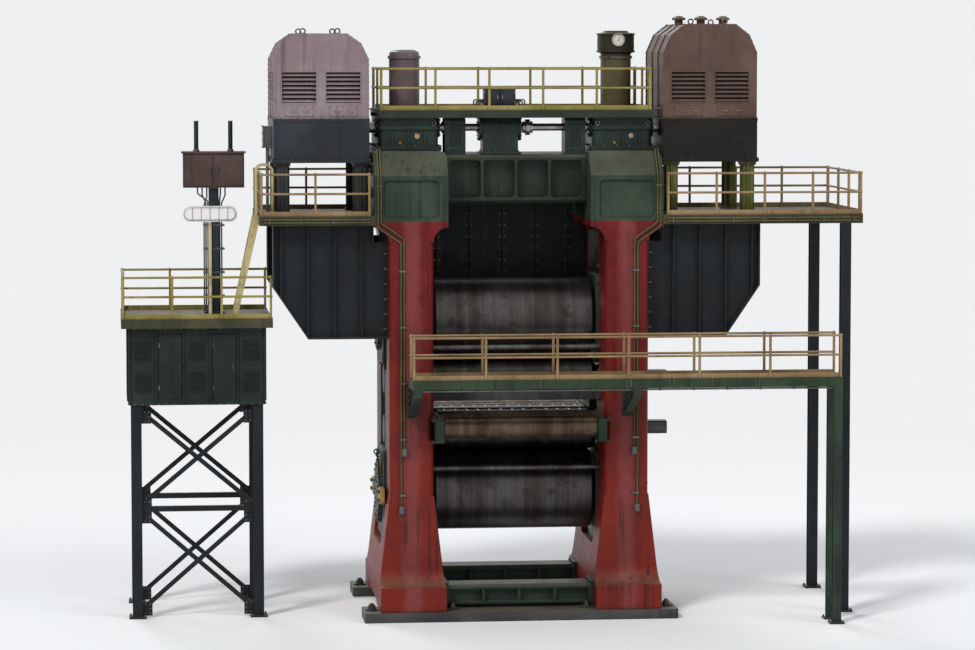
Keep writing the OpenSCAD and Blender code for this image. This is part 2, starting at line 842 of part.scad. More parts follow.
// One straight run of handrail along X: posts on the deck, top rail, knee rail and toe board
module rail_x(x0, x1, y, z, bays) {
    step = (x1 - x0 - post_size) / bays;
    half = post_size / 2;
    for (i = [0:bays])
        translate([x0 + i * step + half, y, z])
            block([-half, -half, 0], [half, half, rail_h]);
    for (h = [rail_h - rail_d / 2, rail_h * 0.52])
        disc_x(x0, x1, rail_d, y, z + h);
    block([x0, y - 8, z], [x1, y + 8, z + 120]);
}

module rail_y(y0, y1, x, z, bays) {
    translate([x, 0, 0])
        rotate([0, 0, 90])
            rail_x(y0, y1, 0, z, bays);
}

rail_in = 60;
module walkway_rails() {
    color("gold") {
        both_ends() {
            rail_x(-walk_left_x + 20, -yoke_out - 100, face_y - rail_in, walk_z, 2);
            rail_x(yoke_out + 100, walk_right_x - 20, face_y - rail_in, walk_z, 4);
        }
        rail_y(-face_y + 2 * rail_in + 40, face_y - 2 * rail_in - 40, -walk_left_x + rail_in, walk_z, 3);
        rail_y(-face_y + 2 * rail_in + 40, face_y - 2 * rail_in - 40, walk_right_x - rail_in, walk_z, 3);
    }
}

pedestal_w = 420;
module motor_pedestals() {
    plate = 45;
    color("dimgray")
        both_sides()
            both_ends()
                for (x = [motor_in + 60, motor_out - 60 - pedestal_w])
                    translate([x, motor_l / 2 - pedestal_w - 40, 0]) {
                        block([0, 0, walk_z], [pedestal_w, pedestal_w, walk_z + plate]);
                        block([70, 70, walk_z + plate - 1],
                              [pedestal_w - 70, pedestal_w - 70, motor_base_z - plate + 1]);
                        block([0, 0, motor_base_z - plate], [pedestal_w, pedestal_w, motor_base_z]);
                        block([20, pedestal_w / 2 - rib_t / 2, walk_z + 1],
                              [pedestal_w - 20, pedestal_w / 2 + rib_t / 2, motor_base_z - 1]);
                        block([pedestal_w / 2 - rib_t / 2, 20, walk_z + 1],
                              [pedestal_w / 2 + rib_t / 2, pedestal_w - 20, motor_base_z - 1]);
                    }
}

// Motor base: bed plate, ribbed body, top flange and the boss that the input shaft enters
base_in = 90;
module motor_base() {
    y1 = motor_l / 2;
    z0 = motor_base_z;
    z1 = motor_cover_z;
    ribs = 5;
    block([motor_in, -y1, z0], [motor_out, y1, z0 + 90]);
    block([motor_in + base_in, -y1 + base_in, z0 + 89], [motor_out - base_in, y1 - base_in, z1 - 79]);
    block([motor_in + 30, -y1 + 30, z1 - 80], [motor_out - 30, y1 - 30, z1]);
    for (i = [0:ribs]) {
        x = motor_in + 40 + i * (motor_w - 80 - rib_t) / ribs;
        y = -y1 + 40 + i * (motor_l - 80 - rib_t) / ribs;
        block([x, -y1 + 40, z0 + 89], [x + rib_t, y1 - 40, z1 - 79]);
        block([motor_in + 40, y, z0 + 89], [motor_out - 40, y + rib_t, z1 - 79]);
    }
    disc_x(motor_in, motor_in + base_in + 1, 420, cross_y, cross_z);
}

module motor_bases() {
    color("darkslateblue")
        both_sides()
            motor_base();
}

cover_in = 70;
// Flat bank of sloped slats in the plane y = 0, looking towards -Y
louvre_n = 7;
louvre_deep = 70;
module louvre_slats(x0, x1, z0, z1) {
    pitch = (z1 - z0) / louvre_n;
    for (i = [0:louvre_n - 1])
        along_x(x0 - 1, x1 + 1)
            polygon([[0, z0 + (i + 0.15) * pitch], [louvre_deep + 1, z0 + (i + 0.6) * pitch],
                     [louvre_deep + 1, z0 + (i + 0.8) * pitch], [0, z0 + (i + 0.35) * pitch]]);
}

// Half of a cover's end outline around its middle line, grown outwards by grow
function cover_half(high, grow) =
    let (half = motor_w / 2 - cover_in + grow)
        [[half, 0], [half, high * 0.7], [half * 0.84, high * 0.88 + grow * 0.5],
         [half * 0.55, high - cover_band + grow], [0, high - cover_band + grow]];

// Motor cover: folded sheet body, outer bands, and louvre banks on its ends and its outer side
cover_band = 25;
bank_h = 780;
bank_w = 880;
bank_gap = 260;
module motor_cover(high) {
    half = motor_w / 2 - cover_in;
    y1 = motor_l / 2 - cover_in - cover_band;
    z0 = motor_cover_z + 420;
    banks = [motor_x - bank_gap / 2 - bank_w, motor_x + bank_gap / 2];
    difference() {
        union() {
            along_y(-y1, y1)
                translate([motor_x, motor_cover_z])
                    polygon(both_halves(cover_half(high, 0)));
            for (y = [-y1, -y1 / 3, y1 / 3, y1])
                along_y(max(y - 35, -y1), min(y + 35, y1))
                    translate([motor_x, motor_cover_z])
                        polygon(both_halves(cover_half(high, cover_band)));
        }
        both_ends()
            for (x = banks)
                block([x, y1 - louvre_deep, z0], [x + bank_w, y1 + 1, z0 + bank_h]);
        for (y = [-y1 / 3 - bank_w - 80, -bank_w / 2, y1 / 3 + 80])
            block([motor_x + half - louvre_deep, max(y, -y1 + 90), z0],
                  [motor_x + half + 1, min(y + bank_w, y1 - 90), z0 + bank_h]);
    }
    both_ends()
        for (x = banks)
            translate([0, y1, 0])
                mirror([0, 1, 0])
                    louvre_slats(x, x + bank_w, z0, z0 + bank_h);
    for (y = [-y1 / 3 - bank_w - 80, -bank_w / 2, y1 / 3 + 80])
        translate([motor_x + half, 0, 0])
            rotate([0, 0, 90])
                louvre_slats(max(y, -y1 + 90), min(y + bank_w, y1 - 90), z0, z0 + bank_h);
}

module motor_cover_left() {
    color("thistle")
        mirror([1, 0, 0])
            motor_cover(motor_cover_h);
}

module motor_cover_right() {
    color("rosybrown") {
        motor_cover(motor_cover_h + cover_more);
        for (x = [-1, 0, 1])
            translate([motor_x + x * motor_w * 0.23, 0, motor_cover_z + motor_cover_h + cover_more])
                rotate_extrude()
                    polygon([[0, -cover_band - 1], [110, -cover_band - 1], [110, 110], [180, 110],
                             [180, 160], [70, 220], [0, 220]]);
    }
}

crown_t = 90;
crown_x = gear_in + gearbox_w;
crown_y = gearbox_l / 2 + 150;
module crown_deck() {
    color("darkgreen")
        difference() {
            union() {
                block([-crown_x, -crown_y, crown_z], [crown_x, crown_y, crown_z + crown_t]);
                both_ends()
                    block([-crown_x, crown_y - edge_w, crown_z - lid_t], [crown_x, crown_y, crown_z + 1]);
            }
            both_sides()
                translate([housing_x, 0, crown_z - 1])
                    cylinder(h = crown_t + 2, d = tube_d + 240);
        }
}

module crown_rails() {
    x1 = crown_x - 40;
    z = crown_z + crown_t;
    color("gold") {
        both_ends()
            rail_x(-x1, x1, crown_y - rail_in, z, 5);
        both_sides()
            rail_y(-crown_y + 2 * rail_in + 40, crown_y - 2 * rail_in - 40, x1 - post_size / 2, z, 2);
    }
}

module exit_bridge() {
    color("green")
        deck(bridge_x0, bridge_x1, bridge_y0, bridge_y1, bridge_z, 9);
}

leg_w = 220;
module bridge_supports() {
    top = bridge_z - deck_t;
    edge = [[bridge_y0, top], [bridge_y0, top - 200], [-face_y, top - bridge_arm_h], [-face_y, top]];
    color("darkgreen") {
        for (side = [-1, 1])
            translate([side * housing_x, 0, 0]) {
                along_x(-web_t, web_t)
                    polygon(edge);
                intersection() {
                    along_x(-leg_w / 2, leg_w / 2)
                        polygon(edge);
                    for (i = [0:3])
                        along_x(-leg_w, leg_w)
                            polygon(bar(edge[i], edge[(i + 1) % 4], flange_t));
                }
            }
        for (y = [bridge_y0 + leg_w / 2, bridge_y1 - leg_w / 2])
            i_column(bridge_x1 - leg_w / 2, y, 0, top, leg_w);
    }
}

module bridge_rails() {
    color("gold") {
        rail_x(bridge_x0 + 20, bridge_x1 - 20, bridge_y0 + rail_in, bridge_z, 6);
        rail_x(bridge_x0 + 20, bridge_x1 - 20, bridge_y1 - rail_in, bridge_z, 6);
    }
}

// Side tower on the left, with the plated block and platform on it
tower_w = 260;
side_deck_z = side_z - deck_t;
tower_x0 = side_x0 + 250;
tower_x1 = side_x1 - 250;
tower_y = side_w / 2 - 300;
module platform_columns() {
    top = side_deck_z - block_h;
    xs = [tower_x0 + tower_w / 2, tower_x1 - tower_w / 2];
    levels = [foot_plate_t, top / 2, top - 150];
    color("darkslategray")
        both_ends() {
            for (x = xs)
                i_column(x, tower_y - tower_w / 2, 0, top, tower_w);
            for (i = [0, 1], s = [0, 1])
                along_y(tower_y - tower_w / 2 - 12, tower_y - tower_w / 2 + 12)
                    polygon(bar([xs[s], levels[i]], [xs[1 - s], levels[i + 1]], s == 0 ? 120 : -120));
            along_y(tower_y - tower_w / 2 - 60, tower_y - tower_w / 2 + 60)
                polygon(bar([xs[0], top / 2], [xs[1], top / 2], 140));
            i_column(walk_right_x - 300 - tower_w / 2, face_y - 20 - tower_w / 2,
                     0, walk_z - deck_t, tower_w);
        }
}

// Plated block under the side platform, with ribs between its flanges
module side_block() {
    x0 = tower_x0 - 60;
    x1 = tower_x1 + 60;
    y1 = tower_y + 60;
    z0 = side_deck_z - block_h;
    bays = 5;
    color("darkslategray") {
        block([x0 + 80, -y1 + 80, z0 + 1], [x1 - 80, y1 - 80, side_z - plate_t]);
        block([x0, -y1, z0], [x1, y1, z0 + 50]);
        block([x0, -y1, side_deck_z - 50], [x1, y1, side_deck_z]);
        for (i = [0:bays]) {
            x = x0 + i * (x1 - x0 - rib_t) / bays;
            y = -y1 + i * (2 * y1 - rib_t) / bays;
            block([x, -y1 + 20, z0 + 49], [x + rib_t, y1 - 20, side_deck_z - 49]);
            block([x0 + 20, y, z0 + 49], [x1 - 20, y + rib_t, side_deck_z - 49]);
        }
    }
}

module side_platform() {
    color("olivedrab")
        deck(side_x0, side_x1, -side_w / 2, side_w / 2, side_z);
}

module side_rails() {
    color("gold") {
        both_ends()
            rail_x(side_x0 + 20, side_x1 - 20, side_w / 2 - rail_in, side_z, 3);
        rail_y(-side_w / 2 + 2 * rail_in + 40, side_w / 2 - 2 * rail_in - 40, side_x0 + rail_in, side_z, 2);
    }
}

// Steep ladder from the side platform up to the left walkway
ladder_w = 620;
ladder_y = -side_w / 2 + 250;
ladder_run = 560;
ladder_t = 50;
module side_ladder() {
    rise = walk_z - side_z;
    top_x = -walk_left_x;
    rungs = floor(rise / 250);
    color("khaki")
        for (y = [ladder_y, ladder_y + ladder_w - ladder_t])
            along_y(y, y + ladder_t)
                polygon([[top_x - ladder_run, side_z], [top_x - ladder_run - 140, side_z],
                         [top_x - 140, walk_z], [top_x, walk_z], [top_x, walk_z - deck_t]]);
    color("khaki")
        for (i = [1:rungs - 1])
            translate([top_x - 70 - ladder_run * (1 - i / rungs), ladder_y + 1, side_z + rise * i / rungs])
                rotate([-90, 0, 0])
                    cylinder(h = ladder_w - 2, d = 34, $fn = 16);
}

// Mast on the side platform with a cabinet and two tubes on top
cabinet_x = side_x0 + side_l * 0.63;
cabinet_z = walk_z + cabinet_up;
cabinet_d = 500;
cabinet_y = 530;
mast_w = 260;
module cabinet_mast() {
    door_x = cabinet_w / 4 - 40;
    color("darkslategray")
        translate([cabinet_x, cabinet_y, 0]) {
            block([-mast_w / 2, -mast_w / 2, side_z], [mast_w / 2, mast_w / 2, cabinet_z]);
            block([-mast_w, -mast_w, side_z], [mast_w, mast_w, side_z + foot_plate_t]);
            block([-cabinet_w / 2, -cabinet_d / 2, cabinet_z],
                  [cabinet_w / 2, cabinet_d / 2, cabinet_z + cabinet_h]);
            block([-cabinet_w / 2 - 40, -cabinet_d / 2 - 40, cabinet_z + cabinet_h],
                  [cabinet_w / 2 + 40, cabinet_d / 2 + 40, cabinet_z + cabinet_h + 50]);
            for (side = [-1, 1]) {
                translate([side * cabinet_w / 4, -cabinet_d / 2, cabinet_z])
                    block([-door_x, -25, 50], [door_x, 1, cabinet_h - 40]);
                translate([side * cabinet_w * 0.28, 0, cabinet_z + cabinet_h])
                    cylinder(h = cabinet_tube_h, d = 120);
            }
        }
}

lamp_x = side_x0 + side_l * 0.59;
lamp_y = -side_w / 2 + 4 * rail_in;
lamp_w = 1400;
module lamp_post() {
    color("khaki")
        translate([lamp_x, lamp_y, side_z]) {
            cylinder(h = 30, d = 240);
            cylinder(h = lamp_h, d = 90);
            along_y(-130, 130)
                rounded_rect(-lamp_w / 2, lamp_h, lamp_w / 2, lamp_h + lamp_head_h, lamp_head_h * 0.47);
            along_y(-170, -129)
                rounded_rect(-lamp_w / 2 + 60, lamp_h + 60, lamp_w / 2 - 60, lamp_h + lamp_head_h - 60,
                             lamp_head_h * 0.34);
        }
}

// Feed rollers at the pass line, on beams on the posts' inner faces
beam_w = 230;
beam_h = 520;
feed_z = pass_z - feed_d / 2;
module feed_rollers() {
    color("tan")
        both_ends()
            for (i = [0:2])
                translate([0, feed_first + i * feed_pitch, feed_z])
                    rotate([0, 90, 0])
                        rotate_extrude()
                            polygon([[0, -post_in + beam_w / 2], [110, -post_in + beam_w / 2],
                                     [110, -post_in + beam_w + 20], [feed_d / 2, -post_in + beam_w + 20],
                                     [feed_d / 2, post_in - beam_w - 20], [110, post_in - beam_w - 20],
                                     [110, post_in - beam_w / 2], [0, post_in - beam_w / 2]]);
}

beam_y0 = work_d / 2 + 60;
beam_y1 = feed_first + 2 * feed_pitch + 320;
module roller_beams() {
    z0 = feed_z - beam_h / 2 - 120;
    z1 = feed_z + beam_h / 2 - 50;
    color("green")
        both_sides()
            both_ends()
                difference() {
                    union() {
                        block([post_in - beam_w, beam_y0, z0], [post_in, beam_y1, z1]);
                        for (i = [0:2])
                            disc_x(post_in - beam_w - 15, post_in - 1, 340,
                                   feed_first + i * feed_pitch, feed_z);
                        block([post_in - 1, face_y + 1, z0], [post_in + 90, beam_y1, z0 + 45]);
                        block([post_in - 1, face_y + 1, z1 - 45], [post_in + 90, beam_y1, z1]);
                    }
                    for (i = [0:2])
                        disc_x(post_in - beam_w - 16, post_in - beam_w / 2 + 20, 220 + 2 * seat,
                               feed_first + i * feed_pitch, feed_z);
                    for (i = [0:1])
                        block([post_in - beam_w - 1, feed_first + i * feed_pitch + 215, z0 + 60],
                              [post_in - beam_w + 60, feed_first + (i + 1) * feed_pitch - 215, z1 - 60]);
                }
}

// Stripper guides: wedge castings that reach up to the work rolls, the lower pair between the
// roller beams, the upper pair on arms on the posts' inner faces
guide_gap = 20;
guide_low = 190;
arm_t = 70;
module stripper_guides() {
    r = work_d / 2 + guide_gap;
    y1 = feed_first - feed_d / 2 - 30;
    top = pass_z - 25;
    middle = pass_z + roll_gap / 2;
    arm_z = 2 * middle - top + 40;
    wedge = concat(
        arc_points(0, bottom_work_z, r, 62, 24),
        [[r, bottom_work_z + guide_low], [y1, bottom_work_z + guide_low], [y1, top], [r * 0.55, top]]);
    color("darkslategray") {
        both_ends() {
            along_x(-post_in + beam_w, post_in - beam_w)
                polygon(wedge);
            translate([0, 0, 2 * middle])
                mirror([0, 0, 1])
                    along_x(-post_in + arm_t - 1, post_in - arm_t + 1)
                        polygon(wedge);
            both_sides()
                along_x(post_in - arm_t, post_in)
                    polygon(chamfered_box(r + 20, arm_z, window_y + 350, arm_z + 280, 50));
        }
    }
}

header_d = 150;
module spray_headers() {
    color("silver")
        both_ends()
            for (z = [top_backup_z - header_up, bottom_backup_z + header_up])
                disc_x(-post_in, post_in, header_d, window_y + 80, z);
}

// Plate wall that keeps water and steam in on the entry side, between the posts' inner faces
guard_t = 60;
guard_over = 600;
module splash_guard() {
    y0 = face_y - 260 - guard_t;
    low = top_backup_z - guard_over;
    high = top_z - 100 - crown_separator_h;
    color("black") {
        along_y(y0, y0 + guard_t)
            polygon(both_halves([
                [0, low], [post_in, low], [post_in, yoke_z - (yoke_w - post_w) / 2],
                [yoke_in, yoke_z - (yoke_w - post_w) / 2], [yoke_in, high], [0, high]]));
        for (i = [-2:2])
            translate([i * post_in * 0.4, y0, 0])
                block([-rib_t / 2, -90, low], [rib_t / 2, 1, high]);
    }
}

sole_plates();
housing_left();
housing_right();
window_liners();
bottom_separators();
crown_separator();
step_plates();
bottom_backup_roll();
bottom_work_roll();
top_work_roll();
top_backup_roll();
backup_chocks();
work_chocks();
project_blocks();
balance_rams();
keeper_plates();
thrust_capsules();
screws();
screw_nuts();
screw_gearboxes();
screw_tubes();
drive_shafts();
shaft_housings();
motor_brackets();
side_walkways();
walkway_rails();
motor_pedestals();
motor_bases();
motor_cover_left();
motor_cover_right();
crown_deck();
crown_rails();
exit_bridge();
bridge_supports();
bridge_rails();
platform_columns();
side_block();
side_platform();
side_rails();
side_ladder();
cabinet_mast();
lamp_post();
feed_rollers();
roller_beams();
spray_headers();
splash_guard();
stripper_guides();
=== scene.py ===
"""Dresses the four-high plate mill stand: finishes, fasteners, pipework and fittings round the frame.

Every length is in metres, in the frame's own axes: X runs along the rolls, the exit side faces -Y
and Z is up. The forms come from the frame, and this script adds what is too fine for it.
"""
import logging
import math
from dataclasses import dataclass, field
from enum import Enum
from typing import Iterable, Sequence

import bmesh
import bpy
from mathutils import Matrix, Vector


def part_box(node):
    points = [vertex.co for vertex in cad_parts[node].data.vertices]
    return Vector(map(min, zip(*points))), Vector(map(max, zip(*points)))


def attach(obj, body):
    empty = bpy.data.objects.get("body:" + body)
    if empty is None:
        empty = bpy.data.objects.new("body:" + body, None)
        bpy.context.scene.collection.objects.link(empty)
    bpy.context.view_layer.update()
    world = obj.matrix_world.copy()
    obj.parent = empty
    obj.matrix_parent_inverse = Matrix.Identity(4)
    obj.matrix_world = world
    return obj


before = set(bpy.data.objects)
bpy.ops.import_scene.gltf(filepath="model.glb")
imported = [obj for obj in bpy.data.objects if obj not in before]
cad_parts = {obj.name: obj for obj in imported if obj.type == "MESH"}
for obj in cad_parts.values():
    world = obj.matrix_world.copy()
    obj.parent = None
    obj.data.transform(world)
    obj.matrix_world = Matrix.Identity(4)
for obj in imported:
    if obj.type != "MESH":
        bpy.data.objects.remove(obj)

LOG = logging.getLogger("mill_stand")
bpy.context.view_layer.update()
BODY = "root"
QUARTERS = ((-1, -1), (-1, 1), (1, -1), (1, 1))

Point = Sequence[float]
Place = tuple[Point, Point]
BarRow = tuple[int, Point, Point, Point]
Colour = tuple[float, float, float]
Node = bpy.types.Node
Socket = bpy.types.NodeSocket
Outputs = bpy.types.NodeOutputs


def srgb(red: int, green: int, blue: int) -> Colour:
    """Turns an 8-bit display colour into the linear colour that shaders use.

    Args:
        red: Red, 0 to 255.
        green: Green, 0 to 255.
        blue: Blue, 0 to 255.

    Returns:
        The linear colour.
    """
    def channel(value: int) -> float:
        """Returns one channel's linear value."""
        share = value / 255
        return share / 12.92 if share <= 0.04045 else ((share + 0.055) / 1.055) ** 2.4
    return (channel(red), channel(green), channel(blue))


VALUE = "NodeSocketFloat"
VECTOR = "NodeSocketVector"
NODE_STEP = (180, -160)
NODES_ACROSS = 12


def middle(node: str, axis: int) -> float:
    """Returns the middle of a frame node's box along one axis."""
    low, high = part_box(node)
    return (low[axis] + high[axis]) / 2


class NodeBoard:
    """Adds nodes to one shader or geometry node tree and links them."""

    def __init__(self, tree: bpy.types.NodeTree) -> None:
        """Takes the tree to work in."""
        self.tree = tree

    def add(self, kind: str, inputs: dict[str | int, object] | None = None,
            **settings: object) -> Node:
        """Adds one node.

        Args:
            kind: The node's type name.
            inputs: What its inputs are fed, by their names or numbers.
            **settings: Properties to set on the node.

        Returns:
            The new node.
        """
        node = self.tree.nodes.new(kind)
        down, along = divmod(len(self.tree.nodes), NODES_ACROSS)
        node.location = (NODE_STEP[0] * along, NODE_STEP[1] * down)
        for name, value in settings.items():
            setattr(node, name, value)
        self.fill(node, inputs or {})
        return node

    def fill(self, node: Node, inputs: dict[str | int, object]) -> None:
        """Feeds several inputs of one node, by their names or numbers."""
        for key, value in inputs.items():
            self.feed(node.inputs[key], value)

    def feed(self, socket: Socket, value: object) -> None:
        """Links a socket to an output, or sets its value.

        Args:
            socket: The input to feed.
            value: An output socket, or a plain value.
        """
        if isinstance(value, Socket):
            self.tree.links.new(value, socket)
        elif isinstance(value, tuple) and len(value) == 3 and len(socket.default_value) == 4:
            socket.default_value = (*value, 1.0)
        else:
            socket.default_value = value

    def math(self, operation: str, first: object, second: object = 0.0, clamp: bool = False) -> Socket:
        """Returns a Math node's result; clamp keeps it between 0 and 1."""
        return self.add("ShaderNodeMath", {0: first, 1: second}, operation=operation,
                        use_clamp=clamp).outputs[0]

    def plus(self, first: object, second: object, clamp: bool = False) -> Socket:
        """Returns the sum of two values."""
        return self.math("ADD", first, second, clamp)

    def less(self, first: object, second: object, clamp: bool = False) -> Socket:
        """Returns the first value less the second."""
        return self.math("SUBTRACT", first, second, clamp)

    def times(self, first: object, second: object, clamp: bool = False) -> Socket:
        """Returns the product of two values."""
        return self.math("MULTIPLY", first, second, clamp)

    def vector(self, operation: str, first: object, second: object) -> Outputs:
        """Returns a Vector Math node's outputs."""
        return self.add("ShaderNodeVectorMath", {0: first, 1: second}, operation=operation).outputs

    def axes(self, place: object) -> Outputs:
        """Returns the three parts of a vector."""
        return self.add("ShaderNodeSeparateXYZ", {0: place}).outputs

    def mix(self, share: object, first: object, second: object, blend: str = "MIX") -> Socket:
        """Returns two colours mixed; share is how much of the second, 0 to 1."""
        return self.add("ShaderNodeMix", {0: share, 6: first, 7: second}, data_type="RGBA",
                        blend_type=blend).outputs[2]

    def band(self, value: object, low: float, high: float, out_low: float = 0.0,
             out_high: float = 1.0) -> Socket:
        """Returns the stretch from low to high mapped onto out_low to out_high, and clamped."""
        return self.add("ShaderNodeMapRange", dict(enumerate((value, low, high, out_low, out_high))),
                        interpolation_type="SMOOTHSTEP").outputs[0]

    def noise(self, place: object, scale: object, detail: float = 3.0, rough: float = 0.55) -> Socket:
        """Returns noise, about 0.25 to 0.75; detail counts its octaves, rough weighs the fine ones."""
        return self.add("ShaderNodeTexNoise", {
            "Vector": place, "Scale": scale, "Detail": detail, "Roughness": rough}).outputs[0]

    def bump(self, height: object, normal: object, strength: float, depth: float) -> Socket:
        """Returns a normal changed by a fine form of the given depth, at a strength from 0 to 1."""
        return self.add("ShaderNodeBump", {
            "Strength": strength, "Distance": depth, "Height": height, "Normal": normal}).outputs[0]


class ShaderGroup:
    """A shader node group with named sockets, built once and placed in many materials."""

    def __init__(self, name: str, inputs: dict[str, object], outputs: dict[str, str]) -> None:
        """Makes the empty group.

        Args:
            name: The group's name.
            inputs: Each input's name and its default: a number, or VECTOR for a place.
            outputs: Each output's name and its socket type.
        """
        self.tree = bpy.data.node_groups.new(name, "ShaderNodeTree")
        for label, default in inputs.items():
            kind = VECTOR if default == VECTOR else VALUE
            socket = self.tree.interface.new_socket(label, in_out="INPUT", socket_type=kind)
            if default != VECTOR:
                socket.default_value = default
        for label, kind in outputs.items():
            self.tree.interface.new_socket(label, in_out="OUTPUT", socket_type=kind)
        self.board = NodeBoard(self.tree)
        self.given = self.board.add("NodeGroupInput").outputs
        self.result = self.board.add("NodeGroupOutput")

    def place(self, board: NodeBoard, **values: object) -> Outputs:
        """Puts the group into a material and returns its outputs; values are its inputs by name."""
        return board.add("ShaderNodeGroup", values, node_tree=self.tree).outputs


def make_edge_group() -> ShaderGroup:
    """Makes the group that rounds sharp edges and tells where they are worn.

    Returns:
        The group.
    """
    group = ShaderGroup("edge_wear", {"Place": VECTOR, "Radius": 0.02, "Amount": 0.5},
                        {"Mask": VALUE, "Normal": VECTOR})
    board, given = group.board, group.given
    rounded = board.add("ShaderNodeBevel", {"Radius": given["Radius"]}, samples=4).outputs[0]
    surface = board.add("ShaderNodeNewGeometry").outputs["Normal"]
    turn = board.vector("DOT_PRODUCT", rounded, surface)["Value"]
    edge = board.band(board.less(1.0, turn), 0.02, 0.16)
    patches = board.band(board.noise(given["Place"], 3.1, 5.0, 0.62), 0.40, 0.62)
    mask = board.times(board.times(edge, patches), given["Amount"], clamp=True)
    board.fill(group.result, {"Mask": mask, "Normal": rounded})
    return group


def make_grime_and_shade_group() -> ShaderGroup:
    """Makes the group that tells where dust and oil lie in patches and runs down the wall, and where painted
    shade darkens the corners.

    Returns:
        The group.
    """
    group = ShaderGroup("grime_and_shade", {"Place": VECTOR, "Amount": 0.5, "Reach": 0.5, "Runs": 0.5},
                        {"Corner Shade And Oil": VALUE, "Patches": VALUE, "Runs": VALUE})
    board, given = group.board, group.given
    place, amount = given["Place"], given["Amount"]
    # The corner mask is painted shade: ambient occlusion darkens corners and creases, broken up by noise.
    shade = board.add("ShaderNodeAmbientOcclusion", {"Distance": given["Reach"]}, samples=4,
                      only_local=False)
    deep = board.band(shade.outputs["AO"], 0.35, 0.95, 1.0, 0.0)
    broken = board.band(board.noise(place, 2.3, 5.0, 0.6), 0.30, 0.62, 0.35, 1.0)
    corners = board.times(board.times(deep, broken), amount, clamp=True)
    patches = board.band(board.noise(place, 0.55, 6.0, 0.66), 0.46, 0.66)
    thin = board.vector("MULTIPLY", place, (7.0, 7.0, 0.22))["Vector"]
    runs = board.band(board.noise(thin, 1.0, 4.0, 0.6), 0.52, 0.68)
    broad = board.band(board.noise(place, 0.35, 2.0, 0.5), 0.40, 0.60)
    board.fill(group.result, {
        "Corner Shade And Oil": corners, "Patches": board.times(patches, amount, clamp=True),
        "Runs": board.times(board.times(runs, broad), given["Runs"], clamp=True)})
    return group


def make_skin_group() -> ShaderGroup:
    """Makes the group for a painted surface's fine form: cast skin, brush marks and orange peel.

    Returns:
        The group.
    """
    group = ShaderGroup("cast_skin", {"Place": VECTOR, "Grain": 60.0, "Waviness": 1.0}, {"Height": VALUE})
    board, given = group.board, group.given
    fine = board.noise(given["Place"], given["Grain"], 4.0, 0.65)
    broad = board.noise(given["Place"], 1.7, 2.0, 0.5)
    swell = board.times(broad, board.times(given["Waviness"], 3.0))
    board.fill(group.result, {"Height": board.plus(fine, swell)})
    return group


def make_chequer_group() -> ShaderGroup:
    """Makes the group for floor plates: lozenges that lie crosswise in turn, and the plates' joints.

    Returns:
        The group.
    """
    group = ShaderGroup("chequer_plate", {"Place": VECTOR, "Pitch": 0.075, "Plates": 1.25},
                        {"Height": VALUE})
    board, given = group.board, group.given
    parts = board.axes(given["Place"])
    cells = []
    for axis in (0, 1):
        along = board.math("DIVIDE", parts[axis], given["Pitch"])
        whole = board.math("FLOOR", along)
        cells.append((whole, board.less(board.less(along, whole), 0.5)))
    (whole_x, off_x), (whole_y, off_y) = cells
    parity = board.math("FLOORED_MODULO", board.plus(whole_x, whole_y), 2.0)
    across = board.times(off_y, board.less(board.times(parity, 2.0), 1.0))
    long_way = board.times(board.plus(off_x, across), 1.55)
    short_way = board.times(board.less(off_x, across), 5.2)
    spread = board.plus(board.times(long_way, long_way), board.times(short_way, short_way))
    lozenge = board.band(spread, 0.55, 1.0, 1.0, 0.0)
    joint = board.math("PINGPONG", parts[0], board.times(given["Plates"], 0.5))
    board.fill(group.result, {"Height": board.less(lozenge, board.band(joint, 0.0, 0.008, 1.5, 0.0))})
    return group


def make_turned_group() -> ShaderGroup:
    """Makes the group for the rings that turning and grinding leave on a shaft along X.

    Returns:
        The group.
    """
    group = ShaderGroup("turned_rings", {"Place": VECTOR, "Density": 90.0}, {"Rings": VALUE, "Bands": VALUE})
    board, given = group.board, group.given
    squeezed = board.vector("MULTIPLY", given["Place"], (1.0, 0.02, 0.02))["Vector"]
    rings = board.noise(squeezed, given["Density"], 3.0, 0.6)
    bands = board.band(board.noise(squeezed, 2.6, 4.0, 0.6), 0.38, 0.64)
    board.fill(group.result, {"Rings": rings, "Bands": bands})
    return group


@dataclass
class Effects:
    """The shader node groups that the finishes share."""
    edge: ShaderGroup = field(default_factory=make_edge_group)
    grime_and_shade: ShaderGroup = field(default_factory=make_grime_and_shade_group)
    skin: ShaderGroup = field(default_factory=make_skin_group)
    chequer: ShaderGroup = field(default_factory=make_chequer_group)
    turned: ShaderGroup = field(default_factory=make_turned_group)


def start_material(name: str) -> tuple[bpy.types.Material, NodeBoard, Node, Socket]:
    """Makes a material with one Principled shader.

    Args:
        name: The material's name.

    Returns:
        The material, its board, the shader and the Object coordinates' socket.
    """
    material = bpy.data.materials.new(name)
    material.use_nodes = True
    material.node_tree.nodes.clear()
    board = NodeBoard(material.node_tree)
    shader = board.add("ShaderNodeBsdfPrincipled")
    board.add("ShaderNodeOutputMaterial", {"Surface": shader.outputs[0]})
    place = board.add("ShaderNodeTexCoord").outputs["Object"]
    return material, board, shader, place


DUST = srgb(122, 110, 92)
# Oil's colour, which also serves as the painted shade in corners.
OIL_AND_SHADE = srgb(14, 13, 14)
RUST = srgb(92, 48, 28)
BARE_STEEL = srgb(104, 100, 96)
PAINT_SPECULAR = 0.2
CHEQUER_DEPTH = 0.006


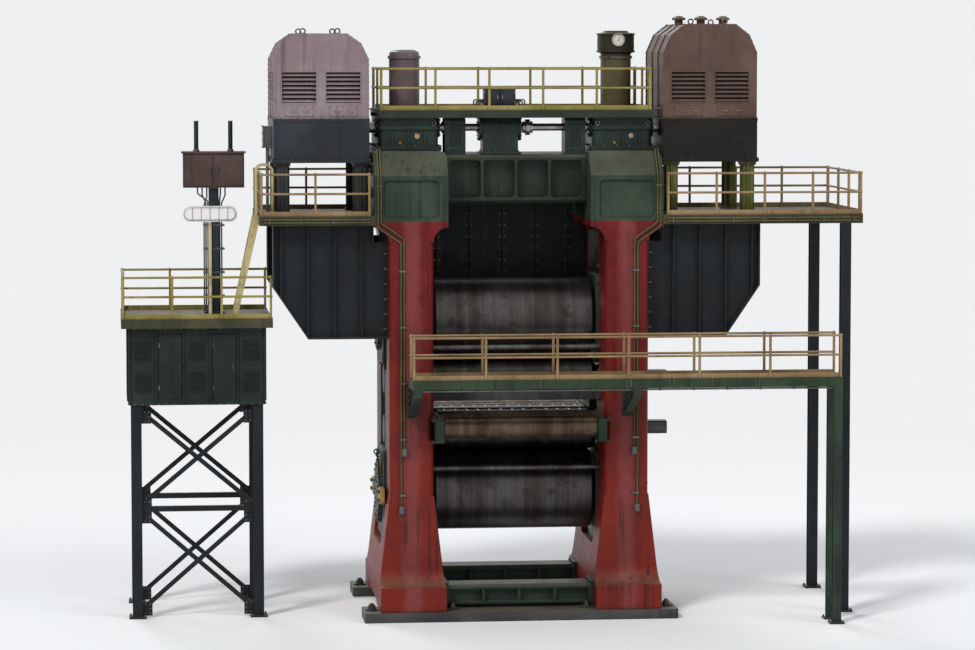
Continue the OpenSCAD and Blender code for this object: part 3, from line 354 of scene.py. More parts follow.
@dataclass(frozen=True)
class Zone:
    """A second colour on one piece, beyond a given place along X, along Z or along both."""
    colour: Colour
    faded: Colour
    x: float | None = None
    z: float | None = None

    def mask(self, board: NodeBoard, place: Socket) -> Socket:
        """Returns where the zone lies, with a brushed border.

        Args:
            board: The material's board.
            place: Object coordinates.

        Returns:
            The mask's socket.
        """
        parts = board.axes(place)
        ragged = board.times(board.noise(place, 5.0, 2.0), 0.03)
        share: object = 1.0
        for axis, start in ((0, self.x), (2, self.z)):
            if start is not None:
                beyond = board.band(board.plus(parts[axis], ragged), start, start + 0.012)
                share = board.times(share, beyond)
        return share


@dataclass(frozen=True)
class Paint:
    """A worn paint on steel: faded patches, chipped edges, dusty tops, painted shade in the corners, and oil
    patches and runs.
    """
    name: str
    slot: str
    colour: Colour
    faded: Colour
    rough: float = 0.5
    wear: float = 0.6
    # How much oil lies in patches, and how dark the painted shade in corners is.
    grime_and_shade: float = 0.55
    runs: float = 0.4
    dust: float = 0.35
    grain: float = 60.0
    depth: float = 0.002
    wavy: float = 1.0
    edge: float = 0.02
    zones: tuple[Zone, ...] = ()
    plate_pitch: float = 0.0

    def build(self, effects: Effects) -> bpy.types.Material:
        """Builds the material.

        Args:
            effects: The shared node groups.

        Returns:
            The finished material.
        """
        material, board, shader, place = start_material(self.name)
        broad = board.band(board.noise(place, 0.8, 5.0, 0.6), 0.34, 0.68)
        colour = self.tint(board, place, board.mix(broad, self.colour, self.faded))
        for zone in self.zones:
            colour = board.mix(zone.mask(board, place), colour, board.mix(broad, zone.colour, zone.faded))
        speckle = board.band(board.noise(place, 38.0, 3.0, 0.7), 0.35, 0.70, 0.90, 1.08)
        grey = board.add("ShaderNodeCombineColor", {0: speckle, 1: speckle, 2: speckle}).outputs[0]
        colour = board.mix(1.0, colour, grey, "MULTIPLY")
        dirt_and_shade = effects.grime_and_shade.place(board, Place=place, Amount=self.grime_and_shade, Runs=self.runs, Reach=0.45)
        worn = effects.edge.place(board, Place=place, Radius=self.edge, Amount=self.wear)
        up = board.band(board.axes(board.add("ShaderNodeNewGeometry").outputs["Normal"])[2], 0.3, 0.95)
        rust = board.times(board.band(board.noise(place, 6.5, 6.0, 0.7), 0.60, 0.70), self.wear)
        # Covers laid in turn: dust on tops, oil patches and runs, rust, bare steel on worn edges, and last
        # the painted shade in corners, in the oil colour.
        for share, cover in ((board.plus(board.times(up, self.dust), self.dust * 0.05), DUST),
                             (board.times(dirt_and_shade["Patches"], 0.5), OIL_AND_SHADE),
                             (board.times(dirt_and_shade["Runs"], 0.75), OIL_AND_SHADE), (board.times(rust, 0.55), RUST),
                             (worn["Mask"], board.mix(broad, BARE_STEEL, RUST)),
                             (board.times(dirt_and_shade["Corner Shade And Oil"], 0.85), OIL_AND_SHADE)):
            colour = board.mix(share, colour, cover)
        varied = board.plus(board.times(board.noise(place, 4.2, 4.0), 0.3), self.rough - 0.15)
        oily = board.times(board.plus(dirt_and_shade["Runs"], dirt_and_shade["Corner Shade And Oil"]), 0.18)
        skin = effects.skin.place(board, Place=place, Grain=self.grain, Waviness=self.wavy)
        normal = board.bump(skin["Height"], worn["Normal"], 0.8, self.depth)
        if self.plate_pitch:
            plate = effects.chequer.place(board, Place=place, Plates=self.plate_pitch)
            normal = board.bump(board.times(plate["Height"], up), normal, 1.0, CHEQUER_DEPTH)
        board.fill(shader, {
            "Base Color": colour, "Roughness": board.less(varied, oily, clamp=True), "Normal": normal,
            "Metallic": board.times(worn["Mask"], 0.6), "Specular IOR Level": PAINT_SPECULAR})
        return material

    def tint(self, board: NodeBoard, place: Socket,
             colour: Socket) -> Socket:
        """Returns the colour before zones and wear, which a kind of paint may change."""
        return colour


@dataclass(frozen=True)
class PostPaint(Paint):
    """The housings' red: a painted highlight, pale along the middle of each post, and warmer towards the
    pass line.
    """
    post_x: float = 2.8
    # The colour of the painted highlight down each post's middle.
    worn: Colour = srgb(126, 60, 60)
    warm: Colour = srgb(120, 32, 15)

    def tint(self, board: NodeBoard, place: Socket,
             colour: Socket) -> Socket:
        """Adds the painted highlight stripe down each post and the warmer lower part.

        Args:
            board: The material's board.
            place: Object coordinates.
            colour: The faded paint.

        Returns:
            The changed colour.
        """
        parts = board.axes(place)
        # A pale stripe of painted highlight down the middle of each post's faces.
        off = board.math("ABSOLUTE", board.less(board.math("ABSOLUTE", parts[0]), self.post_x))
        torn = board.times(board.noise(place, 2.4, 5.0, 0.65), 0.35)
        highlight_stripe = board.band(board.plus(off, torn), 0.26, 0.50, 0.75, 0.0)
        lower = board.band(parts[2], 5.0, 8.5, 0.65, 0.0)
        return board.mix(highlight_stripe, board.mix(lower, colour, self.warm), self.worn)


@dataclass(frozen=True)
class Steel:
    """Bare steel, ground or turned, with rings, scale bands, a film of grease and painted shade in the
    corners.
    """
    name: str
    slot: str
    colour: Colour
    stained: Colour
    rough: float = 0.32
    rings: float = 90.0
    # How much grease runs and lies in patches, and how dark the painted shade in corners is.
    grease: float = 0.35
    stains: float = 0.6
    edge: float = 0.012

    def build(self, effects: Effects) -> bpy.types.Material:
        """Builds the material.

        Args:
            effects: The shared node groups.

        Returns:
            The finished material.
        """
        material, board, shader, place = start_material(self.name)
        turned = effects.turned.place(board, Place=place, Density=self.rings)
        worn = effects.edge.place(board, Place=place, Radius=self.edge, Amount=0.4)
        dirt_and_shade = effects.grime_and_shade.place(board, Place=place, Amount=self.grease, Runs=self.grease, Reach=0.4)
        colour = board.mix(board.times(turned["Bands"], self.stains), self.colour, self.stained)
        blotch = board.band(board.noise(place, 2.1, 6.0, 0.68), 0.48, 0.68, 0.0, 0.6)
        # Stains, then painted shade in corners in the oil colour, then oil patches.
        for share, cover in ((blotch, self.stained), (dirt_and_shade["Corner Shade And Oil"], OIL_AND_SHADE), (dirt_and_shade["Patches"], OIL_AND_SHADE)):
            colour = board.mix(share, colour, cover)
        rough = board.plus(board.times(turned["Rings"], 0.2), self.rough - 0.1)
        rough = board.plus(rough, board.times(blotch, 0.22), clamp=True)
        normal = board.bump(turned["Rings"], worn["Normal"], 0.35, 0.0008)
        board.fill(shader, {"Base Color": colour, "Roughness": rough, "Normal": normal, "Metallic": 0.9})
        return material


@dataclass(frozen=True)
class Glow:
    """A lit lens or pilot lamp, or a part that is no lamp given a painted glow."""
    name: str
    slot: str
    colour: Colour
    strength: float

    def build(self, effects: Effects) -> bpy.types.Material:
        """Builds the material.

        Args:
            effects: The shared node groups.

        Returns:
            The finished material.
        """
        material, board, shader, place = start_material(self.name)
        ribs = board.times(board.noise(place, 90.0, 2.0), 0.2)
        pale = board.plus(effects.grime_and_shade.place(board, Place=place, Amount=0.3)["Patches"], ribs, clamp=True)
        colour = board.mix(pale, self.colour, tuple(part * 0.7 for part in self.colour))
        board.fill(shader, {"Base Color": colour, "Emission Color": colour, "Roughness": 0.2,
                            "Emission Strength": self.strength})
        return material


RED = srgb(97, 9, 12)
RED_FADED = srgb(114, 23, 25)
GREEN = srgb(34, 51, 38)
GREEN_FADED = srgb(53, 70, 54)
CROSSHEAD_Z = 10.31
CABINET_Z = 11.08
CABINET_TUBES_Z = 12.06
INDICATOR_Z = 14.6
LAMP_HEAD_Z = 10.27
CAST_LOOK = {"rough": 0.46, "grain": 42.0, "depth": 0.004, "edge": 0.03}
SHEET_LOOK = {"grain": 120.0, "depth": 0.0008, "wavy": 2.2, "edge": 0.008}
TUBE_LOOK = {"grain": 150.0, "depth": 0.0005, "edge": 0.006}


class Finish(Enum):
    """Every finish on the stand."""
    HOUSING = PostPaint("housing_paint", "housing_red", RED, RED_FADED, wear=0.55, runs=0.8, **CAST_LOOK,
                        zones=(Zone(GREEN, GREEN_FADED, z=CROSSHEAD_Z),))
    FRAME = Paint("frame_green_paint", "frame_green", srgb(28, 46, 37), srgb(44, 62, 50), edge=0.015)
    CROWN = Paint("crown_teal_paint", "frame_green", srgb(20, 37, 34), srgb(34, 54, 48), rough=0.42,
                  edge=0.02)
    GIRDER = Paint("crown_girder_paint", "frame_green", srgb(25, 40, 31), srgb(41, 56, 43), runs=0.7,
                   **CAST_LOOK)
    BRIDGE = Paint("bridge_green_paint", "frame_green", srgb(30, 50, 33), srgb(48, 68, 46), runs=0.6,
                   edge=0.01,
                   plate_pitch=1.1)
    CHOCK = Paint("chock_paint", "chock_green", srgb(32, 54, 46), srgb(46, 68, 57), grime_and_shade=0.85, runs=0.8,
                  edge=0.02)
    CAST = Paint("cast_grey_paint", "cast_grey", srgb(58, 58, 61), srgb(80, 79, 78), grime_and_shade=0.7, grain=34,
                 depth=0.004, edge=0.02)
    PEDESTAL = Paint("pedestal_paint", "cast_grey", srgb(44, 45, 48), srgb(64, 64, 62), grime_and_shade=0.7, grain=34,
                     depth=0.003, zones=(Zone(srgb(78, 82, 34), srgb(108, 110, 52), x=0.0),))
    BRACKET = Paint("bracket_navy_paint", "bracket_navy", srgb(15, 21, 26), srgb(23, 31, 36), edge=0.012)
    BLOCK = Paint("side_block_paint", "bracket_navy", srgb(17, 32, 30), srgb(28, 46, 41), edge=0.012)
    BASE = Paint("base_blue_paint", "base_blue", srgb(36, 40, 47), srgb(49, 54, 60), rough=0.42, edge=0.012,
                 zones=(Zone(srgb(14, 13, 11), srgb(25, 22, 18), x=0.0),))
    CABINET = Paint("cabinet_paint", "base_blue", srgb(36, 44, 50), srgb(48, 56, 62), rough=0.42, edge=0.01,
                    zones=(Zone(srgb(78, 60, 56), srgb(98, 80, 75), z=CABINET_Z),
                           Zone(srgb(18, 46, 36), srgb(28, 58, 46), z=CABINET_TUBES_Z)))
    COVER_LEFT = Paint("cover_mauve_paint", "cover_grey", srgb(132, 114, 118), srgb(149, 134, 137),
                       rough=0.4,
                       wear=0.35, grime_and_shade=0.35, runs=0.6, **SHEET_LOOK)
    COVER_RIGHT = Paint("cover_brown_paint", "cover_brown", srgb(84, 64, 55), srgb(101, 81, 72), rough=0.45,
                        wear=0.4, grime_and_shade=0.45, runs=0.75, **SHEET_LOOK)
    TUBE = Paint("tube_paint", "cover_grey", srgb(90, 75, 77), srgb(112, 98, 100), rough=0.4, wear=0.35,
                 runs=0.7, grain=110, depth=0.0008, edge=0.008,
                 zones=(Zone(srgb(78, 72, 48), srgb(98, 90, 64), x=0.0),
                        Zone(srgb(34, 31, 26), srgb(52, 47, 39), x=0.0, z=INDICATOR_Z)))
    DECK = Paint("deck_plate_paint", "deck_steel", srgb(51, 54, 36), srgb(76, 74, 52), rough=0.55, wear=0.7,
                 dust=0.5, grain=120, depth=0.0008, edge=0.008, plate_pitch=1.25)
    CROWN_DECK = Paint("crown_deck_paint", "deck_steel", srgb(28, 42, 35), srgb(48, 58, 45), rough=0.55,
                       wear=0.7,
                       dust=0.5, grain=120, depth=0.0008, edge=0.008, plate_pitch=1.25)
    YELLOW = Paint("rail_yellow_paint", "handrail_yellow", srgb(166, 132, 58), srgb(186, 158, 92),
                   rough=0.42,
                   wear=0.75, grime_and_shade=0.4, **TUBE_LOOK)
    TAN = Paint("rail_tan_paint", "handrail_yellow", srgb(132, 105, 71), srgb(158, 132, 97), rough=0.45,
                wear=0.7, grime_and_shade=0.4, **TUBE_LOOK)
    OLIVE = Paint("rail_olive_paint", "handrail_yellow", srgb(132, 118, 56), srgb(158, 144, 88), rough=0.45,
                  wear=0.75, grime_and_shade=0.45, **TUBE_LOOK)
    PALE = Paint("ladder_cream_paint", "handrail_yellow", srgb(178, 161, 108), srgb(196, 182, 134),
                 rough=0.45,
                 wear=0.6, grime_and_shade=0.3, **TUBE_LOOK)
    LAMP = Paint("lamp_white_paint", "handrail_yellow", srgb(186, 176, 140), srgb(204, 196, 166), rough=0.4,
                 wear=0.3, grime_and_shade=0.25, runs=0.2, **TUBE_LOOK,
                 zones=(Zone(srgb(224, 224, 220), srgb(238, 238, 234), z=LAMP_HEAD_Z),))
    PIPE = Paint("pipe_olive_paint", "frame_green", srgb(76, 76, 42), srgb(96, 92, 56), rough=0.45,
                 grain=110,
                 depth=0.0006, edge=0.005)
    CONDUIT = Paint("conduit_grey_paint", "cast_grey", srgb(88, 90, 92), srgb(112, 112, 110), rough=0.4,
                    wear=0.3, **TUBE_LOOK)
    # Black of print, cable and louvre mesh, and also painted shade in the guard slots and behind the
    # louvres.
    DARK = Paint("dark_paint_and_shade", "bracket_navy", srgb(9, 9, 10), srgb(15, 14, 14), rough=0.7, wear=0.1,
                 dust=0.15, grain=200, depth=0.0006, edge=0.004)
    ROLL = Steel("ground_roll_steel", "roll_steel", srgb(86, 83, 81), srgb(38, 31, 28), rough=0.34,
                 rings=120)
    TABLE_ROLL = Steel("table_roll_steel", "roll_steel", srgb(108, 92, 76), srgb(64, 46, 34), rough=0.42,
                       stains=0.8)
    WEAR = Steel("wear_plate_steel", "wear_steel", srgb(104, 102, 100), srgb(56, 48, 42), rough=0.42,
                 grease=0.7)
    BRIGHT = Steel("turned_bright_steel", "bright_steel", srgb(168, 166, 162), srgb(100, 88, 78), rough=0.25,
                   stains=0.35)
    BOLT = Steel("fastener_steel", "wear_steel", srgb(112, 108, 104), srgb(60, 50, 44), rough=0.4, rings=20,
                 grease=0.3, edge=0.004)
    BRONZE = Steel("nut_bronze", "bronze", srgb(182, 130, 62), srgb(104, 68, 34), rough=0.35, grease=0.7)
    LENS = Glow("lamp_lens", "handrail_yellow", (0.72, 0.69, 0.68), 0.1)
    PILOT = Glow("pilot_lamp", "base_blue", (0.05, 0.22, 0.08), 0.05)
    # The oil glass is no lamp: its glow is painted light.
    OIL_GLASS_GLOW = Glow("oil_glass_glow", "bronze", (0.5, 0.22, 0.03), 0.1)
    DIAL = Paint("dial_face_paint", "cover_grey", srgb(206, 202, 186), srgb(220, 216, 204), rough=0.35,
                 wear=0.1,
                 grime_and_shade=0.3, runs=0.2, **TUBE_LOOK)


NODE_FINISHES: dict[Finish, tuple[str, ...]] = {
    Finish.HOUSING: ("housing_left", "housing_right"),
    Finish.FRAME: ("bottom_separators", "bridge_supports", "roller_beams"),
    Finish.GIRDER: ("crown_separator",),
    Finish.BRIDGE: ("exit_bridge",),
    Finish.CROWN: ("screw_gearboxes", "shaft_housings"),
    Finish.CHOCK: ("backup_chocks", "work_chocks"),
    Finish.CAST: ("sole_plates", "project_blocks", "stripper_guides"),
    Finish.PEDESTAL: ("motor_pedestals",),
    Finish.BRACKET: ("motor_brackets", "platform_columns", "splash_guard"),
    Finish.BLOCK: ("side_block",),
    Finish.BASE: ("motor_bases",),
    Finish.CABINET: ("cabinet_mast",),
    Finish.COVER_LEFT: ("motor_cover_left",),
    Finish.COVER_RIGHT: ("motor_cover_right",),
    Finish.TUBE: ("screw_tubes",),
    Finish.DECK: ("side_walkways", "side_platform"),
    Finish.CROWN_DECK: ("crown_deck",),
    Finish.YELLOW: ("keeper_plates",),
    Finish.TAN: ("walkway_rails", "bridge_rails"),
    Finish.OLIVE: ("crown_rails", "side_rails"),
    Finish.PALE: ("side_ladder",),
    Finish.LAMP: ("lamp_post",),
    Finish.ROLL: ("bottom_backup_roll", "top_backup_roll", "bottom_work_roll", "top_work_roll"),
    Finish.TABLE_ROLL: ("feed_rollers",),
    Finish.WEAR: ("window_liners", "step_plates", "thrust_capsules", "spray_headers"),
    Finish.BRIGHT: ("screws", "balance_rams", "drive_shafts"),
    Finish.BRONZE: ("screw_nuts",),
}


class Paintshop:
    """Builds each finish once and puts it on frame nodes and new pieces."""

    def __init__(self) -> None:
        """Starts with the shared effects and no materials."""
        self.effects = Effects()
        self.made: dict[Finish, bpy.types.Material] = {}

    def material(self, finish: Finish) -> bpy.types.Material:
        """Returns the finish's material, built the first time it is asked for."""
        if finish not in self.made:
            self.made[finish] = finish.value.build(self.effects)
        return self.made[finish]

    def dress_nodes(self) -> None:
        """Puts every frame node's finish into its object's material slots."""
        for finish, names in NODE_FINISHES.items():
            for name in names:
                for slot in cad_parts[name].material_slots:
                    slot.material = self.material(finish)
                LOG.info("%s gets %s", name, finish.value.name)

    def add_piece(self, name: str, mesh: bpy.types.Mesh, finish: Finish, smooth: float = 35.0) -> None:
        """Turns a mesh into a piece that rides on the stand.

        Args:
            name: The piece's name.
            mesh: Its mesh, in the frame's coordinates.
            finish: Its finish.
            smooth: Edges sharper than this many degrees stay sharp.
        """
        mesh.materials.clear()
        mesh.materials.append(self.material(finish))
        mesh.shade_smooth()
        mesh.set_sharp_from_angle(angle=math.radians(smooth))
        piece = bpy.data.objects.new(name, mesh)
        bpy.context.scene.collection.objects.link(piece)
        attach(piece, BODY)
        LOG.info("%s: %d faces", name, len(mesh.polygons))


class Form:
    """One mesh in the making, in the frame's coordinates."""

    def __init__(self) -> None:
        """Starts an empty mesh."""
        self.mesh = bmesh.new()

    def box(self, low: Point, high: Point) -> "Form":
        """Adds a box between two opposite corners, given in any order.

        Args:
            low: One corner.
            high: The opposite corner.

        Returns:
            This form.
        """
        spans = [sorted(pair) for pair in zip(low, high)]
        corners = [self.mesh.verts.new((x, y, z)) for x in spans[0] for y in spans[1] for z in spans[2]]
        for face in ((0, 1, 3, 2), (4, 6, 7, 5), (0, 4, 5, 1), (2, 3, 7, 6), (0, 2, 6, 4), (1, 5, 7, 3)):
            self.mesh.faces.new([corners[i] for i in face])
        return self

    def slab(self, centre: Point, size: Point) -> "Form":
        """Adds a box of the given size round its centre."""
        half = Vector(size) / 2
        return self.box(Vector(centre) - half, Vector(centre) + half)

    def lathe(self, outline: Sequence[tuple[float, float]], origin: Point, axis: Point, steps: int = 32,
              ring: bool = False) -> "Form":
        """Adds a body of revolution.

        Args:
            outline: Points of radius and distance along the axis.
            origin: Where the axis starts.
            axis: The axis's direction.
            steps: Points round.
            ring: Whether the outline closes on itself, instead of being capped at both ends.

        Returns:
            This form.
        """
        turn = Vector(axis).to_track_quat("Z", "Y")
        spokes = [(math.cos(2 * math.pi * i / steps), math.sin(2 * math.pi * i / steps))
                  for i in range(steps)]
        rings = []
        for radius, along in outline:
            places = [Vector(origin) + turn @ Vector((radius * x, radius * y, along)) for x, y in spokes]
            rings.append([self.mesh.verts.new(place) for place in places])
        pairs = list(zip(rings, rings[1:]))
        if ring:
            pairs.append((rings[-1], rings[0]))
        else:
            self.mesh.faces.new(list(reversed(rings[0])))
            self.mesh.faces.new(rings[-1])
        for first, second in pairs:
            for i in range(steps):
                j = (i + 1) % steps
                self.mesh.faces.new((first[i], first[j], second[j], second[i]))
        return self

    def collar(self, inner: float, outer: float, height: float, origin: Point, axis: Point,
               steps: int = 48) -> "Form":
        """Adds a flat ring with square edges, which rises along the axis from the origin."""
        outline = [(inner, 0.0), (outer, 0.0), (outer, height), (inner, height)]
        return self.lathe(outline, origin, axis, steps, ring=True)

    def prism(self, outline: Sequence[Point], shift: Point) -> "Form":
        """Adds a flat outline drawn out by a shift.

        Args:
            outline: The outline's points.
            shift: How far and which way it is drawn out.

        Returns:
            This form.
        """
        first = [self.mesh.verts.new(p) for p in outline]
        second = [self.mesh.verts.new(Vector(p) + Vector(shift)) for p in outline]
        count = len(outline)
        self.mesh.faces.new(list(reversed(first)))
        self.mesh.faces.new(second)
        for i in range(count):
            j = (i + 1) % count
            self.mesh.faces.new((first[i], first[j], second[j], second[i]))
        return self

    def take(self, name: str, bevel: float = 0.0) -> bpy.types.Mesh:
        """Ends the making and returns the mesh.

        Args:
            name: The mesh's name.
            bevel: How far sharp edges are rounded, or 0 to leave them.

        Returns:
            The finished mesh.
        """
        bmesh.ops.recalc_face_normals(self.mesh, faces=self.mesh.faces)
        if bevel:
            sharp = [e for e in self.mesh.edges if len(e.link_faces) == 2 and e.calc_face_angle() > 0.6]
            bmesh.ops.bevel(self.mesh, geom=sharp, offset=bevel, segments=2, affect="EDGES",
                            clamp_overlap=True)
        mesh = bpy.data.meshes.new(name)
        self.mesh.to_mesh(mesh)
        self.mesh.free()
        return mesh


class Stamp(Enum):
    """What a field of stamps repeats at each of its places."""
    BOLT = "hex head on a washer"
    STUD = "hex nut on a stud end"
    BALL = "ball joint of a handrail"
    RIVET = "round rivet head"
    NOZZLE = "spray nozzle"
    EYE = "lifting eye"


FOOT_Z = -0.002


class GeometryTree:
    """A geometry node tree with named inputs, which is baked to a plain mesh."""

    def __init__(self, name: str, inputs: dict[str, str]) -> None:
        """Makes the tree with its sockets.

        Args:
            name: The tree's name.
            inputs: Each input's name and its socket type.
        """
        self.tree = bpy.data.node_groups.new(name, "GeometryNodeTree")
        self.tree.is_modifier = True
        self.tree.interface.new_socket("Geometry", in_out="INPUT", socket_type="NodeSocketGeometry")
        for label, kind in {**inputs, "Material": "NodeSocketMaterial"}.items():
            self.tree.interface.new_socket(label, in_out="INPUT", socket_type=kind)
        self.tree.interface.new_socket("Geometry", in_out="OUTPUT", socket_type="NodeSocketGeometry")
        self.board = NodeBoard(self.tree)
        self.given = self.board.add("NodeGroupInput").outputs
        self.result = self.board.add("NodeGroupOutput")

    def circle(self, steps: int, radius: object) -> Socket:
        """Returns a circle of straight steps, as a path or a pipe's section."""
        return self.board.add("GeometryNodeCurvePrimitiveCircle", {
            "Resolution": steps, "Radius": radius}).outputs[0]

    def swept(self, path: object, section: object, capped: bool) -> Socket:
        """Returns a section drawn along a path, with its ends closed or not."""
        return self.board.add("GeometryNodeCurveToMesh", {
            "Curve": path, "Profile Curve": section, "Fill Caps": capped}).outputs[0]

    def shifted(self, geometry: object, way: str, value: object) -> Socket:
        """Returns the geometry moved or turned; way is Translation or Rotation."""
        return self.board.add("GeometryNodeTransform", {"Geometry": geometry, way: value}).outputs[0]

    def close(self, geometry: Socket) -> None:
        """Ends the tree: instances are realized and the material is set."""
        real = self.board.add("GeometryNodeRealizeInstances", {0: geometry}).outputs[0]
        self.board.fill(self.result, {"Geometry": self.board.add("GeometryNodeSetMaterial", {
            "Geometry": real, "Material": self.given["Material"]}).outputs[0]})

    def bake(self, name: str, source: bpy.types.Mesh, values: dict[str, object]) -> bpy.types.Mesh:
        """Runs the tree on a mesh.

        Args:
            name: The result's name.
            source: The mesh that the tree takes.
            values: The inputs' values by name.

        Returns:
            The result as a plain mesh.
        """
        holder = bpy.data.objects.new(name + "_source", source)
        bpy.context.scene.collection.objects.link(holder)
        modifier = holder.modifiers.new("tree", "NODES")
        modifier.node_group = self.tree
        for item in self.tree.interface.items_tree:
            if item.item_type == "SOCKET" and item.in_out == "INPUT" and item.name in values:
                modifier[item.identifier] = values[item.name]
        seen = holder.evaluated_get(bpy.context.evaluated_depsgraph_get())
        mesh = bpy.data.meshes.new_from_object(seen)
        mesh.name = name
        holder.modifiers.remove(modifier)
        bpy.data.objects.remove(holder)
        bpy.data.meshes.remove(source)
        return mesh


class StampTree(GeometryTree):
    """Repeats one stamp at each point of a mesh, turned to the point's own facing."""

    def __init__(self, stamp: Stamp) -> None:
        """Builds the tree for one kind of stamp.

        Args:
            stamp: What is repeated.
        """
        super().__init__("stamps_" + stamp.name.lower(), {"Size": VALUE, "Height": VALUE})
        self.height = self.given["Height"]
        self.radius = self.board.times(self.given["Size"], 0.5)
        makers = {Stamp.BOLT: self._bolt, Stamp.STUD: self._stud, Stamp.BALL: self._ball,
                  Stamp.RIVET: self._rivet, Stamp.NOZZLE: self._nozzle, Stamp.EYE: self._eye}
        shape = makers[stamp]()
        facing = self.board.add("GeometryNodeInputNamedAttribute", {"Name": "facing"},
                                data_type="FLOAT_VECTOR")
        way = next(o for o in facing.outputs if o.enabled and o.name == "Attribute")
        turn = self.board.add("FunctionNodeAlignRotationToVector", {"Vector": way}, axis="Z")
        copies = self.board.add("GeometryNodeInstanceOnPoints", {
            "Points": self.given["Geometry"], "Instance": shape, "Rotation": turn.outputs[0]})
        self.close(copies.outputs[0])

    def _share(self, part: float) -> Socket:
        """Returns a share of the stamp's radius."""
        return self.board.times(self.radius, part)

    def _drum(self, sides: int, radius: object, bottom: object, height: object) -> Socket:
        """Returns an upright drum whose foot lies at bottom, above the point."""
        drum = self.board.add("GeometryNodeMeshCylinder", {
            "Vertices": sides, "Radius": radius, "Depth": height}, fill_type="NGON")
        return self._moved(drum.outputs["Mesh"], self.board.plus(self.board.times(height, 0.5), bottom))

    def _moved(self, geometry: Socket, height: object) -> Socket:
        """Returns the geometry raised along its own Z."""
        place = self.board.add("ShaderNodeCombineXYZ", {2: height}).outputs[0]
        return self.shifted(geometry, "Translation", place)

    def _joined(self, *parts: Socket) -> Socket:
        """Joins several geometries.

        Args:
            *parts: The geometries.

        Returns:
            The whole.
        """
        joined = self.board.add("GeometryNodeJoinGeometry")
        for part in parts:
            self.tree.links.new(part, joined.inputs[0])
        return joined.outputs[0]

    def _bolt(self) -> Socket:
        """Returns a hex head of the given size across corners, on a thin washer."""
        washer = self._drum(16, self._share(1.25), FOOT_Z, self.board.times(self.height, 0.2))
        return self._joined(washer, self._drum(6, self.radius, 0.0, self.height))

    def _stud(self) -> Socket:
        """Makes a hex nut with a washer and the end of its stud.

        Returns:
            Its geometry.
        """
        washer = self._drum(20, self._share(1.3), FOOT_Z, self.board.times(self.height, 0.22))
        end = self._drum(16, self._share(0.56), 0.0, self.board.times(self.height, 1.45))
        return self._joined(washer, self._drum(6, self.radius, 0.0, self.height), end)

    def _ball(self) -> Socket:
        """Returns a ball."""
        ball = self.board.add("GeometryNodeMeshIcoSphere", {"Subdivisions": 3, "Radius": self.radius})
        return ball.outputs["Mesh"]

    def _rivet(self) -> Socket:
        """Returns a low round head."""
        head = self.board.add("GeometryNodeMeshUVSphere", {
            "Segments": 10, "Rings": 6, "Radius": self.radius})
        return head.outputs["Mesh"]

    def _nozzle(self) -> Socket:
        """Makes a nozzle: a hex body and a tapered tip.

        Returns:
            Its geometry.
        """
        half = self.board.times(self.height, 0.5)
        tip = self.board.add("GeometryNodeMeshCone", {
            "Vertices": 12, "Depth": half, "Radius Bottom": self._share(0.8),
            "Radius Top": self._share(0.35)}, fill_type="NGON")
        raised = self._moved(tip.outputs["Mesh"], self.board.less(half, 0.005))
        return self._joined(self._drum(6, self.radius, 2 * FOOT_Z, half), raised)

    def _eye(self) -> Socket:
        """Makes a lifting eye: a ring that stands on a collar.

        Returns:
            Its geometry.
        """
        path = self.circle(24, self.radius)
        ring = self.swept(path, self.circle(10, self._share(0.3)), False)
        raised = self._moved(self.shifted(ring, "Rotation", (math.pi / 2, 0, 0)), self._share(1.35))
        return self._joined(raised, self._drum(16, self._share(0.7), FOOT_Z, self._share(0.4)))


class BarTree(GeometryTree):
    """Repeats one bar along a straight line."""

    def __init__(self) -> None:
        """Builds the tree."""
        super().__init__("bar_row", {
            "Count": "NodeSocketInt", "Start": VECTOR, "Step": VECTOR, "Bar": VECTOR})
        line = self.board.add("GeometryNodeMeshLine", {
            "Count": self.given["Count"], "Start Location": self.given["Start"],
            "Offset": self.given["Step"]}, mode="OFFSET", count_mode="TOTAL")
        bar = self.board.add("GeometryNodeMeshCube", {"Size": self.given["Bar"]})
        copies = self.board.add("GeometryNodeInstanceOnPoints", {
            "Points": line.outputs["Mesh"], "Instance": bar.outputs["Mesh"]})
        self.close(copies.outputs[0])


class PipeTree(GeometryTree):
    """Turns polylines into round pipes with rounded bends."""

    def __init__(self) -> None:
        """Builds the tree."""
        super().__init__("pipe_runs", {"Radius": VALUE, "Bend": VALUE})
        path = self.board.add("GeometryNodeMeshToCurve", {0: self.given["Geometry"]})
        bent = self.board.add("GeometryNodeFilletCurve", {
            "Count": 5, "Limit Radius": True, "Curve": path.outputs[0],
            "Radius": self.given["Bend"]}, mode="POLY")
        self.close(self.swept(bent.outputs[0], self.circle(12, self.given["Radius"]), True))


class ThreadTree(GeometryTree):
    """Winds the rounded ridge of a screw's thread round an upright screw."""

    def __init__(self) -> None:
        """Builds the tree."""
        super().__init__("screw_thread", {"Foot": VECTOR, "Radius": VALUE, "Pitch": VALUE, "Height": VALUE})
        radius, pitch, height = (self.given[label] for label in ("Radius", "Pitch", "Height"))
        spiral = self.board.add("GeometryNodeCurveSpiral", {
            "Resolution": 40, "Rotations": self.board.math("DIVIDE", height, pitch), "Start Radius": radius,
            "End Radius": radius, "Height": height})
        ridge = self.swept(spiral.outputs[0], self.circle(6, self.board.times(pitch, 0.34)), True)
        self.close(self.shifted(ridge, "Translation", self.given["Foot"]))


